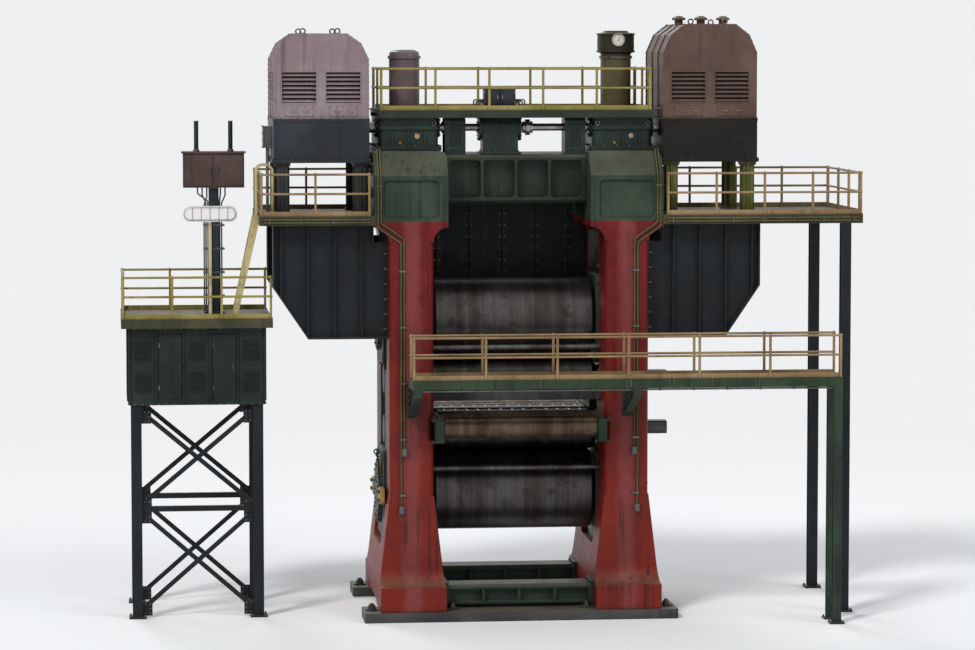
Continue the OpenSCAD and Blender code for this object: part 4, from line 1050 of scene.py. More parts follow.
class Fitter:
    """Adds stamps, bars, pipes, threads and solid forms as pieces, with the shared trees."""

    def __init__(self, shop: Paintshop) -> None:
        """Makes the trees that all rows, pipes and threads share.

        Args:
            shop: The paintshop that dresses what is made.
        """
        self.shop = shop
        self.stamps: dict[Stamp, StampTree] = {}
        self.bars = BarTree()
        self.pipes = PipeTree()
        self.threads = ThreadTree()

    def stamp(self, name: str, stamp: Stamp, places: Sequence[Place], size: float, height: float,
              finish: Finish = Finish.BOLT) -> None:
        """Adds a field of stamps as one piece.

        Args:
            name: The piece's name.
            stamp: What is repeated.
            places: Each copy's place and the direction it faces.
            size: The stamp's size across.
            height: The stamp's height.
            finish: Its finish.
        """
        if stamp not in self.stamps:
            self.stamps[stamp] = StampTree(stamp)
        source = bpy.data.meshes.new(name + "_places")
        source.from_pydata([tuple(p) for p, _ in places], [], [])
        facing = source.attributes.new("facing", "FLOAT_VECTOR", "POINT")
        facing.data.foreach_set("vector", [c for _, way in places for c in way])
        mesh = self.stamps[stamp].bake(name, source, {
            "Size": size, "Height": height, "Material": self.shop.material(finish)})
        self.shop.add_piece(name, mesh, finish, 40.0)

    def bar_row(self, name: str, rows: Iterable[BarRow], finish: Finish) -> None:
        """Adds rows of bars as one piece.

        Args:
            name: The piece's name.
            rows: For each row its count, its first bar's middle, its step and a bar's size.
            finish: Its finish.
        """
        joined = bmesh.new()
        for count, start, step, bar in rows:
            mesh = self.bars.bake(name, bpy.data.meshes.new(name + "_seed"), {
                "Count": count, "Start": start, "Step": step, "Bar": bar,
                "Material": self.shop.material(finish)})
            joined.from_mesh(mesh)
            bpy.data.meshes.remove(mesh)
        whole = bpy.data.meshes.new(name)
        joined.to_mesh(whole)
        joined.free()
        self.shop.add_piece(name, whole, finish)

    def pipe(self, name: str, runs: Iterable[Sequence[Point]], radius: float, bend: float,
             finish: Finish) -> None:
        """Adds pipes as one piece.

        Args:
            name: The piece's name.
            runs: Each pipe's corners.
            radius: The pipes' radius.
            bend: The bends' radius.
            finish: Their finish.
        """
        points: list[Point] = []
        edges: list[tuple[int, int]] = []
        for run in runs:
            edges += [(len(points) + i, len(points) + i + 1) for i in range(len(run) - 1)]
            points += run
        source = bpy.data.meshes.new(name + "_paths")
        source.from_pydata([tuple(p) for p in points], edges, [])
        mesh = self.pipes.bake(name, source, {
            "Radius": radius, "Bend": bend, "Material": self.shop.material(finish)})
        self.shop.add_piece(name, mesh, finish, 50.0)

    def solid(self, name: str, form: Form, finish: Finish, bevel: float = 0.0) -> None:
        """Ends a form and adds it as one piece, with its sharp edges rounded by the bevel."""
        self.shop.add_piece(name, form.take(name, bevel), finish)

    def thread(self, name: str, foot: Point, radius: float, pitch: float, height: float,
               finish: Finish) -> None:
        """Adds one upright screw's thread; foot is the screw's axis at the thread's lower end."""
        mesh = self.threads.bake(name, bpy.data.meshes.new(name + "_seed"), {
            "Foot": tuple(foot), "Radius": radius, "Pitch": pitch, "Height": height,
            "Material": self.shop.material(finish)})
        self.shop.add_piece(name, mesh, finish, 60.0)


def ring(centre: Point, axis: Point, radius: float, count: int, start: float = 0.0) -> list[Place]:
    """Returns places on a circle that all face along its axis.

    Args:
        centre: The circle's middle.
        axis: The direction that the places face.
        radius: The circle's radius.
        count: The number of places.
        start: The first place's angle in degrees.

    Returns:
        The places.
    """
    turn = Vector(axis).to_track_quat("Z", "Y")
    places = []
    for i in range(count):
        angle = math.radians(start) + 2 * math.pi * i / count
        spoke = turn @ Vector((math.cos(angle), math.sin(angle), 0.0))
        places.append((tuple(Vector(centre) + spoke * radius), tuple(axis)))
    return places


def row(start: Point, end: Point, pitch: float, facing: Point) -> list[Place]:
    """Returns evenly spaced places from start to end.

    Args:
        start: The first place.
        end: The last place.
        pitch: The wished distance between places.
        facing: The direction that they face.

    Returns:
        The places.
    """
    first, last = Vector(start), Vector(end)
    count = max(1, round((last - first).length / pitch))
    return [(tuple(first.lerp(last, i / count)), tuple(facing)) for i in range(count + 1)]


def border(low: Point, high: Point, pitch: float, facing: Point) -> list[Place]:
    """Returns places along the four sides of a flat rectangle.

    Args:
        low: One corner, in the plane.
        high: The opposite corner, in the same plane.
        pitch: The wished distance between places.
        facing: The direction that they face, across the plane.

    Returns:
        The places.
    """
    flat = max(range(3), key=lambda axis: abs(facing[axis]))
    one, two = (axis for axis in range(3) if axis != flat)
    corners = []
    for first, second in ((low, low), (high, low), (high, high), (low, high)):
        corner = list(low)
        corner[one], corner[two] = first[one], second[two]
        corners.append(tuple(corner))
    places: list[Place] = []
    for i, corner in enumerate(corners):
        places += row(corner, corners[(i + 1) % 4], pitch, facing)[:-1]
    return places


def both(places: Iterable[Place], axis: int) -> list[Place]:
    """Returns places with their mirror images across the middle plane of one axis.

    Args:
        places: The places on one side.
        axis: The axis to mirror along.

    Returns:
        The places of both sides.
    """
    result = list(places)
    for point, way in list(result):
        far, turned = list(point), list(way)
        far[axis], turned[axis] = -far[axis], -turned[axis]
        result.append((tuple(far), tuple(turned)))
    return result


@dataclass
class Stand:
    """The stand's main places, read from the frame."""
    face_y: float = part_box("side_walkways")[1][1]
    window_y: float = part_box("project_blocks")[1][1]
    post_in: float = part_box("spray_headers")[1][0]
    post_out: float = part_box("project_blocks")[1][0]
    yoke_out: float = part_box("housing_right")[1][0]
    yoke_in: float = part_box("crown_separator")[1][0]
    sole_z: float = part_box("sole_plates")[1][2]
    pass_z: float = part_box("bottom_work_roll")[1][2]
    top_z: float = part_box("housing_right")[1][2]
    crown_z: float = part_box("screw_gearboxes")[1][2]
    crown_deck_z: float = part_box("crown_deck")[1][2]
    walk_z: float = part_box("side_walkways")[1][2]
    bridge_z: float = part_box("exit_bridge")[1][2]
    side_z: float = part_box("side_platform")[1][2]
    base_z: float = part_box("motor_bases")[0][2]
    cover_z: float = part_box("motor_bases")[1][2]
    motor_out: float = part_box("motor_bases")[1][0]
    shaft_y: float = middle("drive_shafts", 1)
    shaft_z: float = middle("drive_shafts", 2)

    @property
    def housing_x(self) -> float:
        """The right housing's middle."""
        return (self.post_in + self.post_out) / 2

    @property
    def shoulder_z(self) -> float:
        """Where the posts begin to widen into the yokes."""
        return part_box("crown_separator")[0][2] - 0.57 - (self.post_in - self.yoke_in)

    @property
    def motor_x(self) -> float:
        """The right motor's middle."""
        return middle("motor_cover_right", 0)


@dataclass
class Fittings:
    """What every group of fittings has: the stand's places, and what makes its pieces."""
    stand: Stand
    fitter: Fitter


@dataclass
class HousingFittings(Fittings):
    """Anchor nuts, tie rod nuts, flange bolts, and the grease lines up the two housings."""
    anchor_gap: float = 0.2
    line_radius: float = 0.022
    first_clamp_z: float = 3.2
    clamp_pitch: float = 1.45
    clamp_h: float = 0.05
    yoke_clamps_z: tuple[float, float] = (10.6, 11.2)

    def build(self) -> None:
        """Makes the pieces."""
        s = self.stand
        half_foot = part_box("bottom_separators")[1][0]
        foot_out = 2 * s.housing_x - half_foot
        anchors = [((side * x, end * s.face_y, s.sole_z + 0.03), (0, 0, 1)) for side, end in QUARTERS
                   for x in (half_foot - self.anchor_gap, foot_out + self.anchor_gap)]
        self.fitter.stamp("anchor_nuts", Stamp.STUD, anchors, 0.19, 0.10)
        plates = Form()
        for point, _ in anchors:
            plates.slab((point[0], point[1], s.sole_z + 0.015), (0.34, 0.34, 0.03))
        self.fitter.solid("anchor_plates", plates, Finish.CAST, 0.008)
        rods = [((side * s.yoke_out, y, z), (side, 0, 0)) for side in (-1, 1)
                for y in (-1.05, -0.4, 0.4, 1.05) for z in (s.top_z - 1.1, s.top_z - 0.5)]
        self.fitter.stamp("crown_tie_nuts", Stamp.STUD, rods, 0.26, 0.14)
        self._separator_bolts(half_foot)
        self._grease_lines()

    def _separator_bolts(self, half_foot: float) -> None:
        """Bolts the bottom separators' end flanges to the feet.

        Args:
            half_foot: Where the feet's inner faces lie.
        """
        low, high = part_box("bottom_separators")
        x = half_foot - 0.09
        bolts = []
        for y in (high[1] - 0.035, high[1] - 0.965):
            bolts += row((x, y, low[2] + 0.1), (x, y, high[2] - 0.12), 0.16, (-1, 0, 0))
        z = high[2] - 0.035
        bolts += row((x, high[1] - 0.2, z), (x, high[1] - 0.8, z), 0.2, (-1, 0, 0))
        self.fitter.stamp("separator_bolts", Stamp.BOLT, both(both(bolts, 0), 1), 0.055, 0.034)

    def _grease_lines(self) -> None:
        """Runs two grease lines up each post's face and round the crosshead to the worm gearbox."""
        s = self.stand
        reach = 0.035
        runs = []
        clamps = Form()
        blocks = Form()
        for side, end in QUARTERS:
            y = end * (s.face_y + reach)
            for i, (offset, foot) in enumerate(((0.30, 2.9), (0.38, 4.4))):
                x = side * (s.post_out - offset)
                far = side * (s.yoke_out - 0.09 - i * 0.07)
                slope = end * (s.face_y - 0.52 + reach)
                runs.append([(x, y, foot), (x, y, 9.75 + i * 0.1), (far, y, 10.15 + i * 0.12),
                             (far, y, s.top_z - 0.6), (far, slope, s.top_z + 0.045),
                             (far, end * 1.42, s.top_z + 0.045)])
                blocks.slab((x, end * (s.face_y + 0.05), foot - 0.06), (0.12, 0.10, 0.2))
            wall, out = end * s.face_y, end * (s.face_y + 0.064)
            for i in range(5):
                z = self.first_clamp_z + i * self.clamp_pitch
                clamps.box((side * (s.post_out - 0.25), wall, z),
                           (side * (s.post_out - 0.43), out, z + self.clamp_h))
            for z in self.yoke_clamps_z:
                clamps.box((side * (s.yoke_out - 0.04), wall, z),
                           (side * (s.yoke_out - 0.21), out, z + self.clamp_h))
        self.fitter.pipe("post_grease_lines", runs, self.line_radius, 0.09, Finish.PIPE)
        self.fitter.solid("post_line_clamps", clamps, Finish.BOLT, 0.006)
        self.fitter.solid("grease_distributors", blocks, Finish.CONDUIT, 0.008)


@dataclass
class ScrewdownFittings(Fittings):
    """Fasteners and small fittings of the gearboxes, cover tubes, cross shaft, clutch and screws."""
    case_l: float = 2.7
    case_w: float = 1.56
    coupling_r: float = 0.178
    thread_pitch: float = 0.048
    control_box_x: tuple[float, float] = (-0.795, 0.025)

    def build(self) -> None:
        """Makes the pieces."""
        self._gearboxes()
        self._tubes()
        self._cross_shaft()
        self._control_box()
        self._threads()

    def _gearboxes(self) -> None:
        """Bolts and fits out the two worm gearboxes."""
        s = self.stand
        wide, deep = self.case_w / 2, self.case_l / 2
        flange: list[Place] = []
        split: list[Place] = []
        ends: list[Place] = []
        eyes: list[Place] = []
        plugs: list[Place] = []
        glasses, rims = Form(), Form()
        for side in (-1, 1):
            x = side * s.housing_x
            flange += border((x - wide - 0.042, -deep - 0.042, s.top_z + 0.11),
                             (x + wide + 0.042, deep + 0.042, s.top_z + 0.11), 0.3, (0, 0, 1))
            split += border((x - wide - 0.03, -deep + 0.1, s.shaft_z + 0.045),
                            (x + wide + 0.03, deep - 0.1, s.shaft_z + 0.045), 0.2, (0, 0, 1))
            for way in (-1, 1):
                ends += ring((x + way * (wide + 0.06), s.shaft_y, s.shaft_z), (way, 0, 0), 0.21, 8, 22.5)
                eyes += [((x + way * (wide - 0.12), end * (deep + 0.03), s.shaft_z + 0.045), (0, 0, 1))
                         for end in (-1, 1)]
                glass = (x + 0.22, way * deep, s.shaft_z - 0.22)
                rims.collar(0.042, 0.07, 0.03, glass, (0, way, 0), 24)
                glasses.lathe([(0.045, 0.0), (0.045, 0.012), (0.03, 0.018)], glass, (0, way, 0), 24)
                plugs.append(((x - 0.22, way * deep, s.top_z + 0.19), (0, way, 0)))
        self.fitter.stamp("gearbox_foot_bolts", Stamp.BOLT, flange, 0.062, 0.038)
        self.fitter.stamp("gearbox_split_bolts", Stamp.BOLT, split, 0.044, 0.03)
        self.fitter.stamp("worm_cover_bolts", Stamp.BOLT, ends, 0.05, 0.03)
        self.fitter.stamp("gearbox_eyes", Stamp.EYE, eyes, 0.10, 0.1)
        self.fitter.stamp("drain_plugs", Stamp.BOLT, plugs, 0.07, 0.05, Finish.BRONZE)
        self.fitter.solid("oil_glass_rims", rims, Finish.BRIGHT, 0.004)
        # The oil glasses get a painted glow.
        self.fitter.solid("oil_glasses", glasses, Finish.OIL_GLASS_GLOW)

    def _tubes(self) -> None:
        """Bolts the cover tubes down and dials the indicator on the right one."""
        s = self.stand
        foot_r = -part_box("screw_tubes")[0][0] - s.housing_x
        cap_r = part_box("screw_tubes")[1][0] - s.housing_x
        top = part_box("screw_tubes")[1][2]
        bolts: list[Place] = []
        rims, collars = Form(), Form()
        for side in (-1, 1):
            x = side * s.housing_x
            bolts += ring((x, 0, s.crown_z + 0.07), (0, 0, 1), foot_r - 0.035, 16)
            collars.collar(foot_r + 0.025, foot_r + 0.12, 0.014, (x, 0, s.crown_deck_z), (0, 0, 1), 64)
            bolts += ring((x, 0, s.crown_deck_z + 0.014), (0, 0, 1), foot_r + 0.085, 20)
        self.fitter.stamp("tube_flange_bolts", Stamp.BOLT, bolts, 0.045, 0.03)
        self.fitter.solid("tube_collars", collars, Finish.CROWN_DECK, 0.003)
        middle = top - 0.24
        faces, ticks = Form(), Form()
        for end in (-1, 1):
            centre = Vector((s.housing_x, end * (cap_r - 0.03), middle))
            faces.lathe([(0.15, 0.0), (0.15, 0.026)], centre, (0, end, 0), 40)
            rims.collar(0.145, 0.175, 0.04, centre, (0, end, 0), 40)
            for i in range(11):
                angle = math.radians(-60 + i * 30)
                spoke = Vector((math.cos(angle), 0, math.sin(angle)))
                across = Vector((-spoke.z, 0, spoke.x)) * 0.005
                inner, outer = centre + spoke * 0.105, centre + spoke * 0.135
                corners = [inner - across, inner + across, outer + across, outer - across]
                ticks.prism([p + Vector((0, end * 0.025, 0)) for p in corners], (0, end * 0.003, 0))
            hand = [centre + Vector(p) for p in ((-0.012, 0, -0.03), (0.012, 0, -0.03), (0.05, 0, 0.09))]
            ticks.prism([p + Vector((0, end * 0.025, 0)) for p in hand], (0, end * 0.006, 0))
        self.fitter.solid("indicator_dials", faces, Finish.DIAL)
        self.fitter.solid("indicator_marks", ticks, Finish.DARK)
        self.fitter.solid("indicator_rims", rims, Finish.BRIGHT, 0.005)
        studs = []
        for z in (top - 0.41, top - 0.08):
            for place, _ in ring((s.housing_x, 0, z), (0, 0, 1), cap_r - 0.025, 24, 7.5):
                way = Vector((place[0] - s.housing_x, place[1], 0)).normalized()
                studs.append((place, tuple(way)))
        self.fitter.stamp("indicator_screws", Stamp.RIVET, studs, 0.022, 0.02)

    def _cross_shaft(self) -> None:
        """Bolts the couplings, the clutch and its foot, and gives the coupling guards doors whose slots are
        dark strips of painted shade.
        """
        s = self.stand
        shaft = (s.shaft_y, s.shaft_z)
        clutch = middle("shaft_housings", 0) - 0.385
        bolts: list[Place] = []
        for start in (clutch + 0.61, s.yoke_in - 0.21, -s.yoke_in - 0.05):
            bolts += ring((start + 0.08, *shaft), (-1, 0, 0), self.coupling_r, 8)
            bolts += ring((start + 0.18, *shaft), (1, 0, 0), self.coupling_r, 8)
        for way in (-1, 1):
            bolts += ring((clutch + way * 0.55, *shaft), (way, 0, 0), 0.32, 16)
            bolts += ring((clutch + way * 0.55, *shaft), (way, 0, 0), 0.16, 8)
        self.fitter.stamp("coupling_bolts", Stamp.BOLT, bolts, 0.034, 0.022)
        foot = [((clutch + x, s.shaft_y + y, s.top_z - 0.04), (0, 0, 1)) for x in (-0.46, -0.15, 0.15, 0.46)
                for y in (-0.398, 0.398)]
        self.fitter.stamp("clutch_foot_bolts", Stamp.STUD, foot, 0.044, 0.03)
        lids, slot_shade, screws = Form(), [], []
        for side in (-1, 1):
            x = side * (s.yoke_in - 0.28)
            for end in (-1, 1):
                y = s.shaft_y + end * 0.35
                lids.slab((x, y + end * 0.004, s.top_z + 0.33), (0.42, 0.01, 0.66))
                face = y + end * 0.009
                # Each slot is a dark strip of painted shade on the door.
                slot_shade.append((9, (x - 0.14, face, s.top_z + 0.33), (0.035, 0, 0), (0.014, 0.006, 0.46)))
                screws += border((x - 0.19, face, s.top_z + 0.03), (x + 0.19, face, s.top_z + 0.63), 0.3,
                                 (0, end, 0))
        self.fitter.solid("guard_doors", lids, Finish.CROWN, 0.003)
        self.fitter.bar_row("guard_slot_shade", slot_shade, Finish.DARK)
        self.fitter.stamp("guard_screws", Stamp.BOLT, screws, 0.026, 0.016)

    def _control_box(self) -> None:
        """Adds doors, handles and conduits to the clutch's control box on the crown deck."""
        s = self.stand
        low_x, high_x = self.control_box_x
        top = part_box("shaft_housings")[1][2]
        front = s.shaft_y - 0.19
        doors, hinges = Form(), Form()
        for start, hinge, handle in ((0.0, 0.0, 0.33), (0.4, 0.38, 0.05)):
            x0 = low_x + 0.02 + start
            doors.box((x0, front, top - 0.48), (x0 + 0.38, front - 0.014, top - 0.06))
            for z in (top - 0.40, top - 0.14):
                hinges.slab((x0 + hinge, front - 0.018, z), (0.022, 0.024, 0.06))
            hinges.slab((x0 + handle, front - 0.026, top - 0.27), (0.022, 0.026, 0.11))
        self.fitter.solid("control_doors", doors, Finish.BASE, 0.004)
        self.fitter.solid("control_hinges", hinges, Finish.BRIGHT, 0.003)
        z = s.crown_deck_z + 0.035
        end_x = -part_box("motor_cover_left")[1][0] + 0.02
        runs = []
        for i in range(3):
            lane = -1.22 - i * 0.06
            up = top - 0.42 + i * 0.04
            for edge, way in ((low_x, -1), (high_x, 1)):
                out = edge + way * (0.14 + i * 0.06)
                runs.append([(edge, s.shaft_y, up), (out, s.shaft_y, up), (out, s.shaft_y, z),
                             (out, lane, z), (way * end_x, lane, z)])
        self.fitter.pipe("crown_conduits", runs, 0.02, 0.05, Finish.CONDUIT)
        saddles = Form()
        for way in (-1, 1):
            for i in range(4):
                saddles.slab((way * (1.2 + i * 0.62), -1.28, s.crown_deck_z + 0.03), (0.04, 0.22, 0.06))
        self.fitter.solid("conduit_saddles", saddles, Finish.BOLT, 0.004)

    def _threads(self) -> None:
        """Winds the threads round the stretch of screw that shows below each nut."""
        s = self.stand
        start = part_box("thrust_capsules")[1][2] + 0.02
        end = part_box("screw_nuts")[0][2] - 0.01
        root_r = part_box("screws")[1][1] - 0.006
        for side, name in ((-1, "screw_thread_left"), (1, "screw_thread_right")):
            self.fitter.thread(name, (side * s.housing_x, 0, start), root_r, self.thread_pitch, end - start,
                               Finish.BRIGHT)
        studs: list[Place] = []
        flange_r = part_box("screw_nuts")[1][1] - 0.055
        for side in (-1, 1):
            studs += ring((side * s.housing_x, 0, end + 0.01), (0, 0, -1), flange_r, 16)
        self.fitter.stamp("nut_flange_bolts", Stamp.BOLT, studs, 0.07, 0.045)


@dataclass
class RollFittings(Fittings):
    """Fasteners and pipes of the chocks, and the bolts of the keeper plates."""
    pipe_r: float = 0.014

    def build(self) -> None:
        """Makes the pieces."""
        big: list[Place] = []
        small: list[Place] = []
        lugs: list[Place] = []
        runs: list[list[Point]] = []
        blocks = Form()
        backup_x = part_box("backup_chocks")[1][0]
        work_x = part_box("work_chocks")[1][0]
        for side in (-1, 1):
            for roll in ("bottom_backup_roll", "top_backup_roll"):
                z = middle(roll, 2)
                big += ring((side * (backup_x - 0.06), 0, z), (side, 0, 0), 0.81, 20)
                small += ring((side * backup_x, 0, z), (side, 0, 0), 0.69, 12, 15)
                small += ring((side * backup_x, 0, z), (side, 0, 0), 0.34, 8)
                face = side * (backup_x - 0.11)
                pipe_x = face + side * 0.035
                lugs += [((face, y, z + 0.98), (side, 0, 0)) for y in (-0.35, 0.35)]
                for end in (-1, 1):
                    at = (face + side * 0.03, end * 0.62, z + 0.97)
                    blocks.slab(at, (0.06, 0.24, 0.12))
                    for i in range(3):
                        y = end * (0.54 + i * 0.07)
                        drop = math.sqrt(max(0.0, 0.83 ** 2 - y * y))
                        runs.append([(pipe_x, y, z + 0.95), (pipe_x, y, z + drop + 0.03)])
            for roll in ("bottom_work_roll", "top_work_roll"):
                small += ring((side * (work_x - 0.05), 0, middle(roll, 2)), (side, 0, 0), 0.396, 10)
        self.fitter.stamp("backup_cover_bolts", Stamp.BOLT, big, 0.075, 0.05)
        self.fitter.stamp("bearing_cover_bolts", Stamp.BOLT, small, 0.05, 0.034)
        self.fitter.stamp("chock_lugs", Stamp.EYE, lugs, 0.12, 0.1, Finish.CHOCK)
        self.fitter.solid("chock_oil_blocks", blocks, Finish.CONDUIT, 0.006)
        self.fitter.pipe("chock_oil_pipes", runs, self.pipe_r, 0.03, Finish.BRONZE)
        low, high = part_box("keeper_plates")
        window_y = self.stand.window_y
        keepers = [((low[0], end * y, z + up), (-1, 0, 0)) for end in (-1, 1)
                   for z in (low[2], high[2] - 0.42) for y in (window_y + 0.08, window_y + 0.22)
                   for up in (0.1, 0.32)]
        self.fitter.stamp("keeper_bolts", Stamp.BOLT, keepers, 0.08, 0.05)
        bands = Form()
        for name in ("bottom_work_roll", "top_work_roll"):
            z = middle(name, 2)
            for off in (0.06, 0.19):
                bands.collar(0.262, 0.29, 0.03, (work_x + off, 0, z), (1, 0, 0), 48)
        self.fitter.solid("spindle_collars", bands, Finish.BRIGHT, 0.004)


@dataclass
class PassLineFittings(Fittings):
    """Nozzles on the spray headers, and the bolts of roller beams, guides and splash guard."""
    nozzle_pitch: float = 0.18
    header_r: float = 0.075

    def build(self) -> None:
        """Makes the pieces."""
        s = self.stand
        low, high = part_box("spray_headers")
        radius = self.header_r
        y = high[1] - radius
        nozzles: list[Place] = []
        flanges = Form()
        flange_bolts: list[Place] = []
        for z, roll in ((high[2] - radius, "top_backup_roll"), (low[2] + radius, "bottom_backup_roll")):
            axis_z = middle(roll, 2)
            for end in (-1, 1):
                way = Vector((0, -end * y, axis_z - z)).normalized()
                start = Vector((-2.0, end * y, z)) + way * radius
                nozzles += row(start, start + Vector((4.0, 0, 0)), self.nozzle_pitch, way)
                for side in (-1, 1):
                    flanges.lathe([(0.13, 0.0), (0.13, 0.03), (0.09, 0.045)],
                                  (side * s.post_in, end * y, z), (-side, 0, 0), 32)
                    flange_bolts += ring((side * (s.post_in - 0.03), end * y, z), (-side, 0, 0), 0.11, 8)
        self.fitter.stamp("spray_nozzles", Stamp.NOZZLE, nozzles, 0.05, 0.09, Finish.BRONZE)
        self.fitter.solid("header_flanges", flanges, Finish.WEAR, 0.004)
        beam = s.post_in - 0.23
        for i in range(3):
            caps = ring((beam - 0.015, 1.0 + i * 0.7, s.pass_z - 0.275), (-1, 0, 0), 0.142, 8, 22.5)
            flange_bolts += both(both(caps, 0), 1)
        self.fitter.stamp("bearing_bolts", Stamp.BOLT, flange_bolts, 0.034, 0.024)
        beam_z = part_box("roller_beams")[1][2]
        ends = [((s.post_in + 0.045, s.face_y + 0.1 + i * 0.16, beam_z), (0, 0, 1)) for i in range(3)]
        x = s.post_in - 0.115
        ends += row((x, 0.75, beam_z), (x, 2.6, beam_z), 0.35, (0, 0, 1))
        self.fitter.stamp("beam_bolts", Stamp.BOLT, both(both(ends, 0), 1), 0.055, 0.036)
        strips = [(13, (-1.8, end * 0.5, s.pass_z - 0.019), (0.3, 0, 0), (0.05, 0.32, 0.012))
                  for end in (-1, 1)]
        self.fitter.bar_row("guide_strips", strips, Finish.BRIGHT)
        self._splash_bolts()

    def _splash_bolts(self) -> None:
        """Bolts the splash guard's seams and adds plates at its shoulder corners and a strip along its top.
        """
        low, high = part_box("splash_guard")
        bolts = []
        z0, z1 = low[2] + 0.15, high[2] - 0.1
        for i in range(-2, 3):
            for off in (-0.06, 0.06):
                x = i * self.stand.post_in * 0.4 + off
                for y, way in ((low[1] + 0.09, -1), (high[1], 1)):
                    bolts += row((x, y, z0), (x, y, z1), 0.3, (0, way, 0))
        self.fitter.stamp("splash_bolts", Stamp.BOLT, bolts, 0.04, 0.02)
        shoulder = self.stand.post_in - self.stand.yoke_in
        corners = Form()
        for side in (-1, 1):
            outline = [(-0.1, -0.06), (shoulder, -0.06)]
            for i in range(7):
                angle = math.radians(i * 15)
                outline.append(((shoulder + 0.01) * math.cos(angle), (shoulder + 0.01) * math.sin(angle)))
            outline.append((-0.1, shoulder + 0.01))
            z = self.stand.shoulder_z
            corner = [(side * (self.stand.yoke_in + a), high[1], z + b) for a, b in outline]
            corners.prism(corner, (0, 0.012, 0))
        corners.box((-self.stand.yoke_in + 0.02, high[1], high[2] - 0.05),
                    (self.stand.yoke_in - 0.02, high[1] + 0.012, high[2] + 0.12))
        self.fitter.solid("splash_corners", corners, Finish.BRACKET, 0.002)


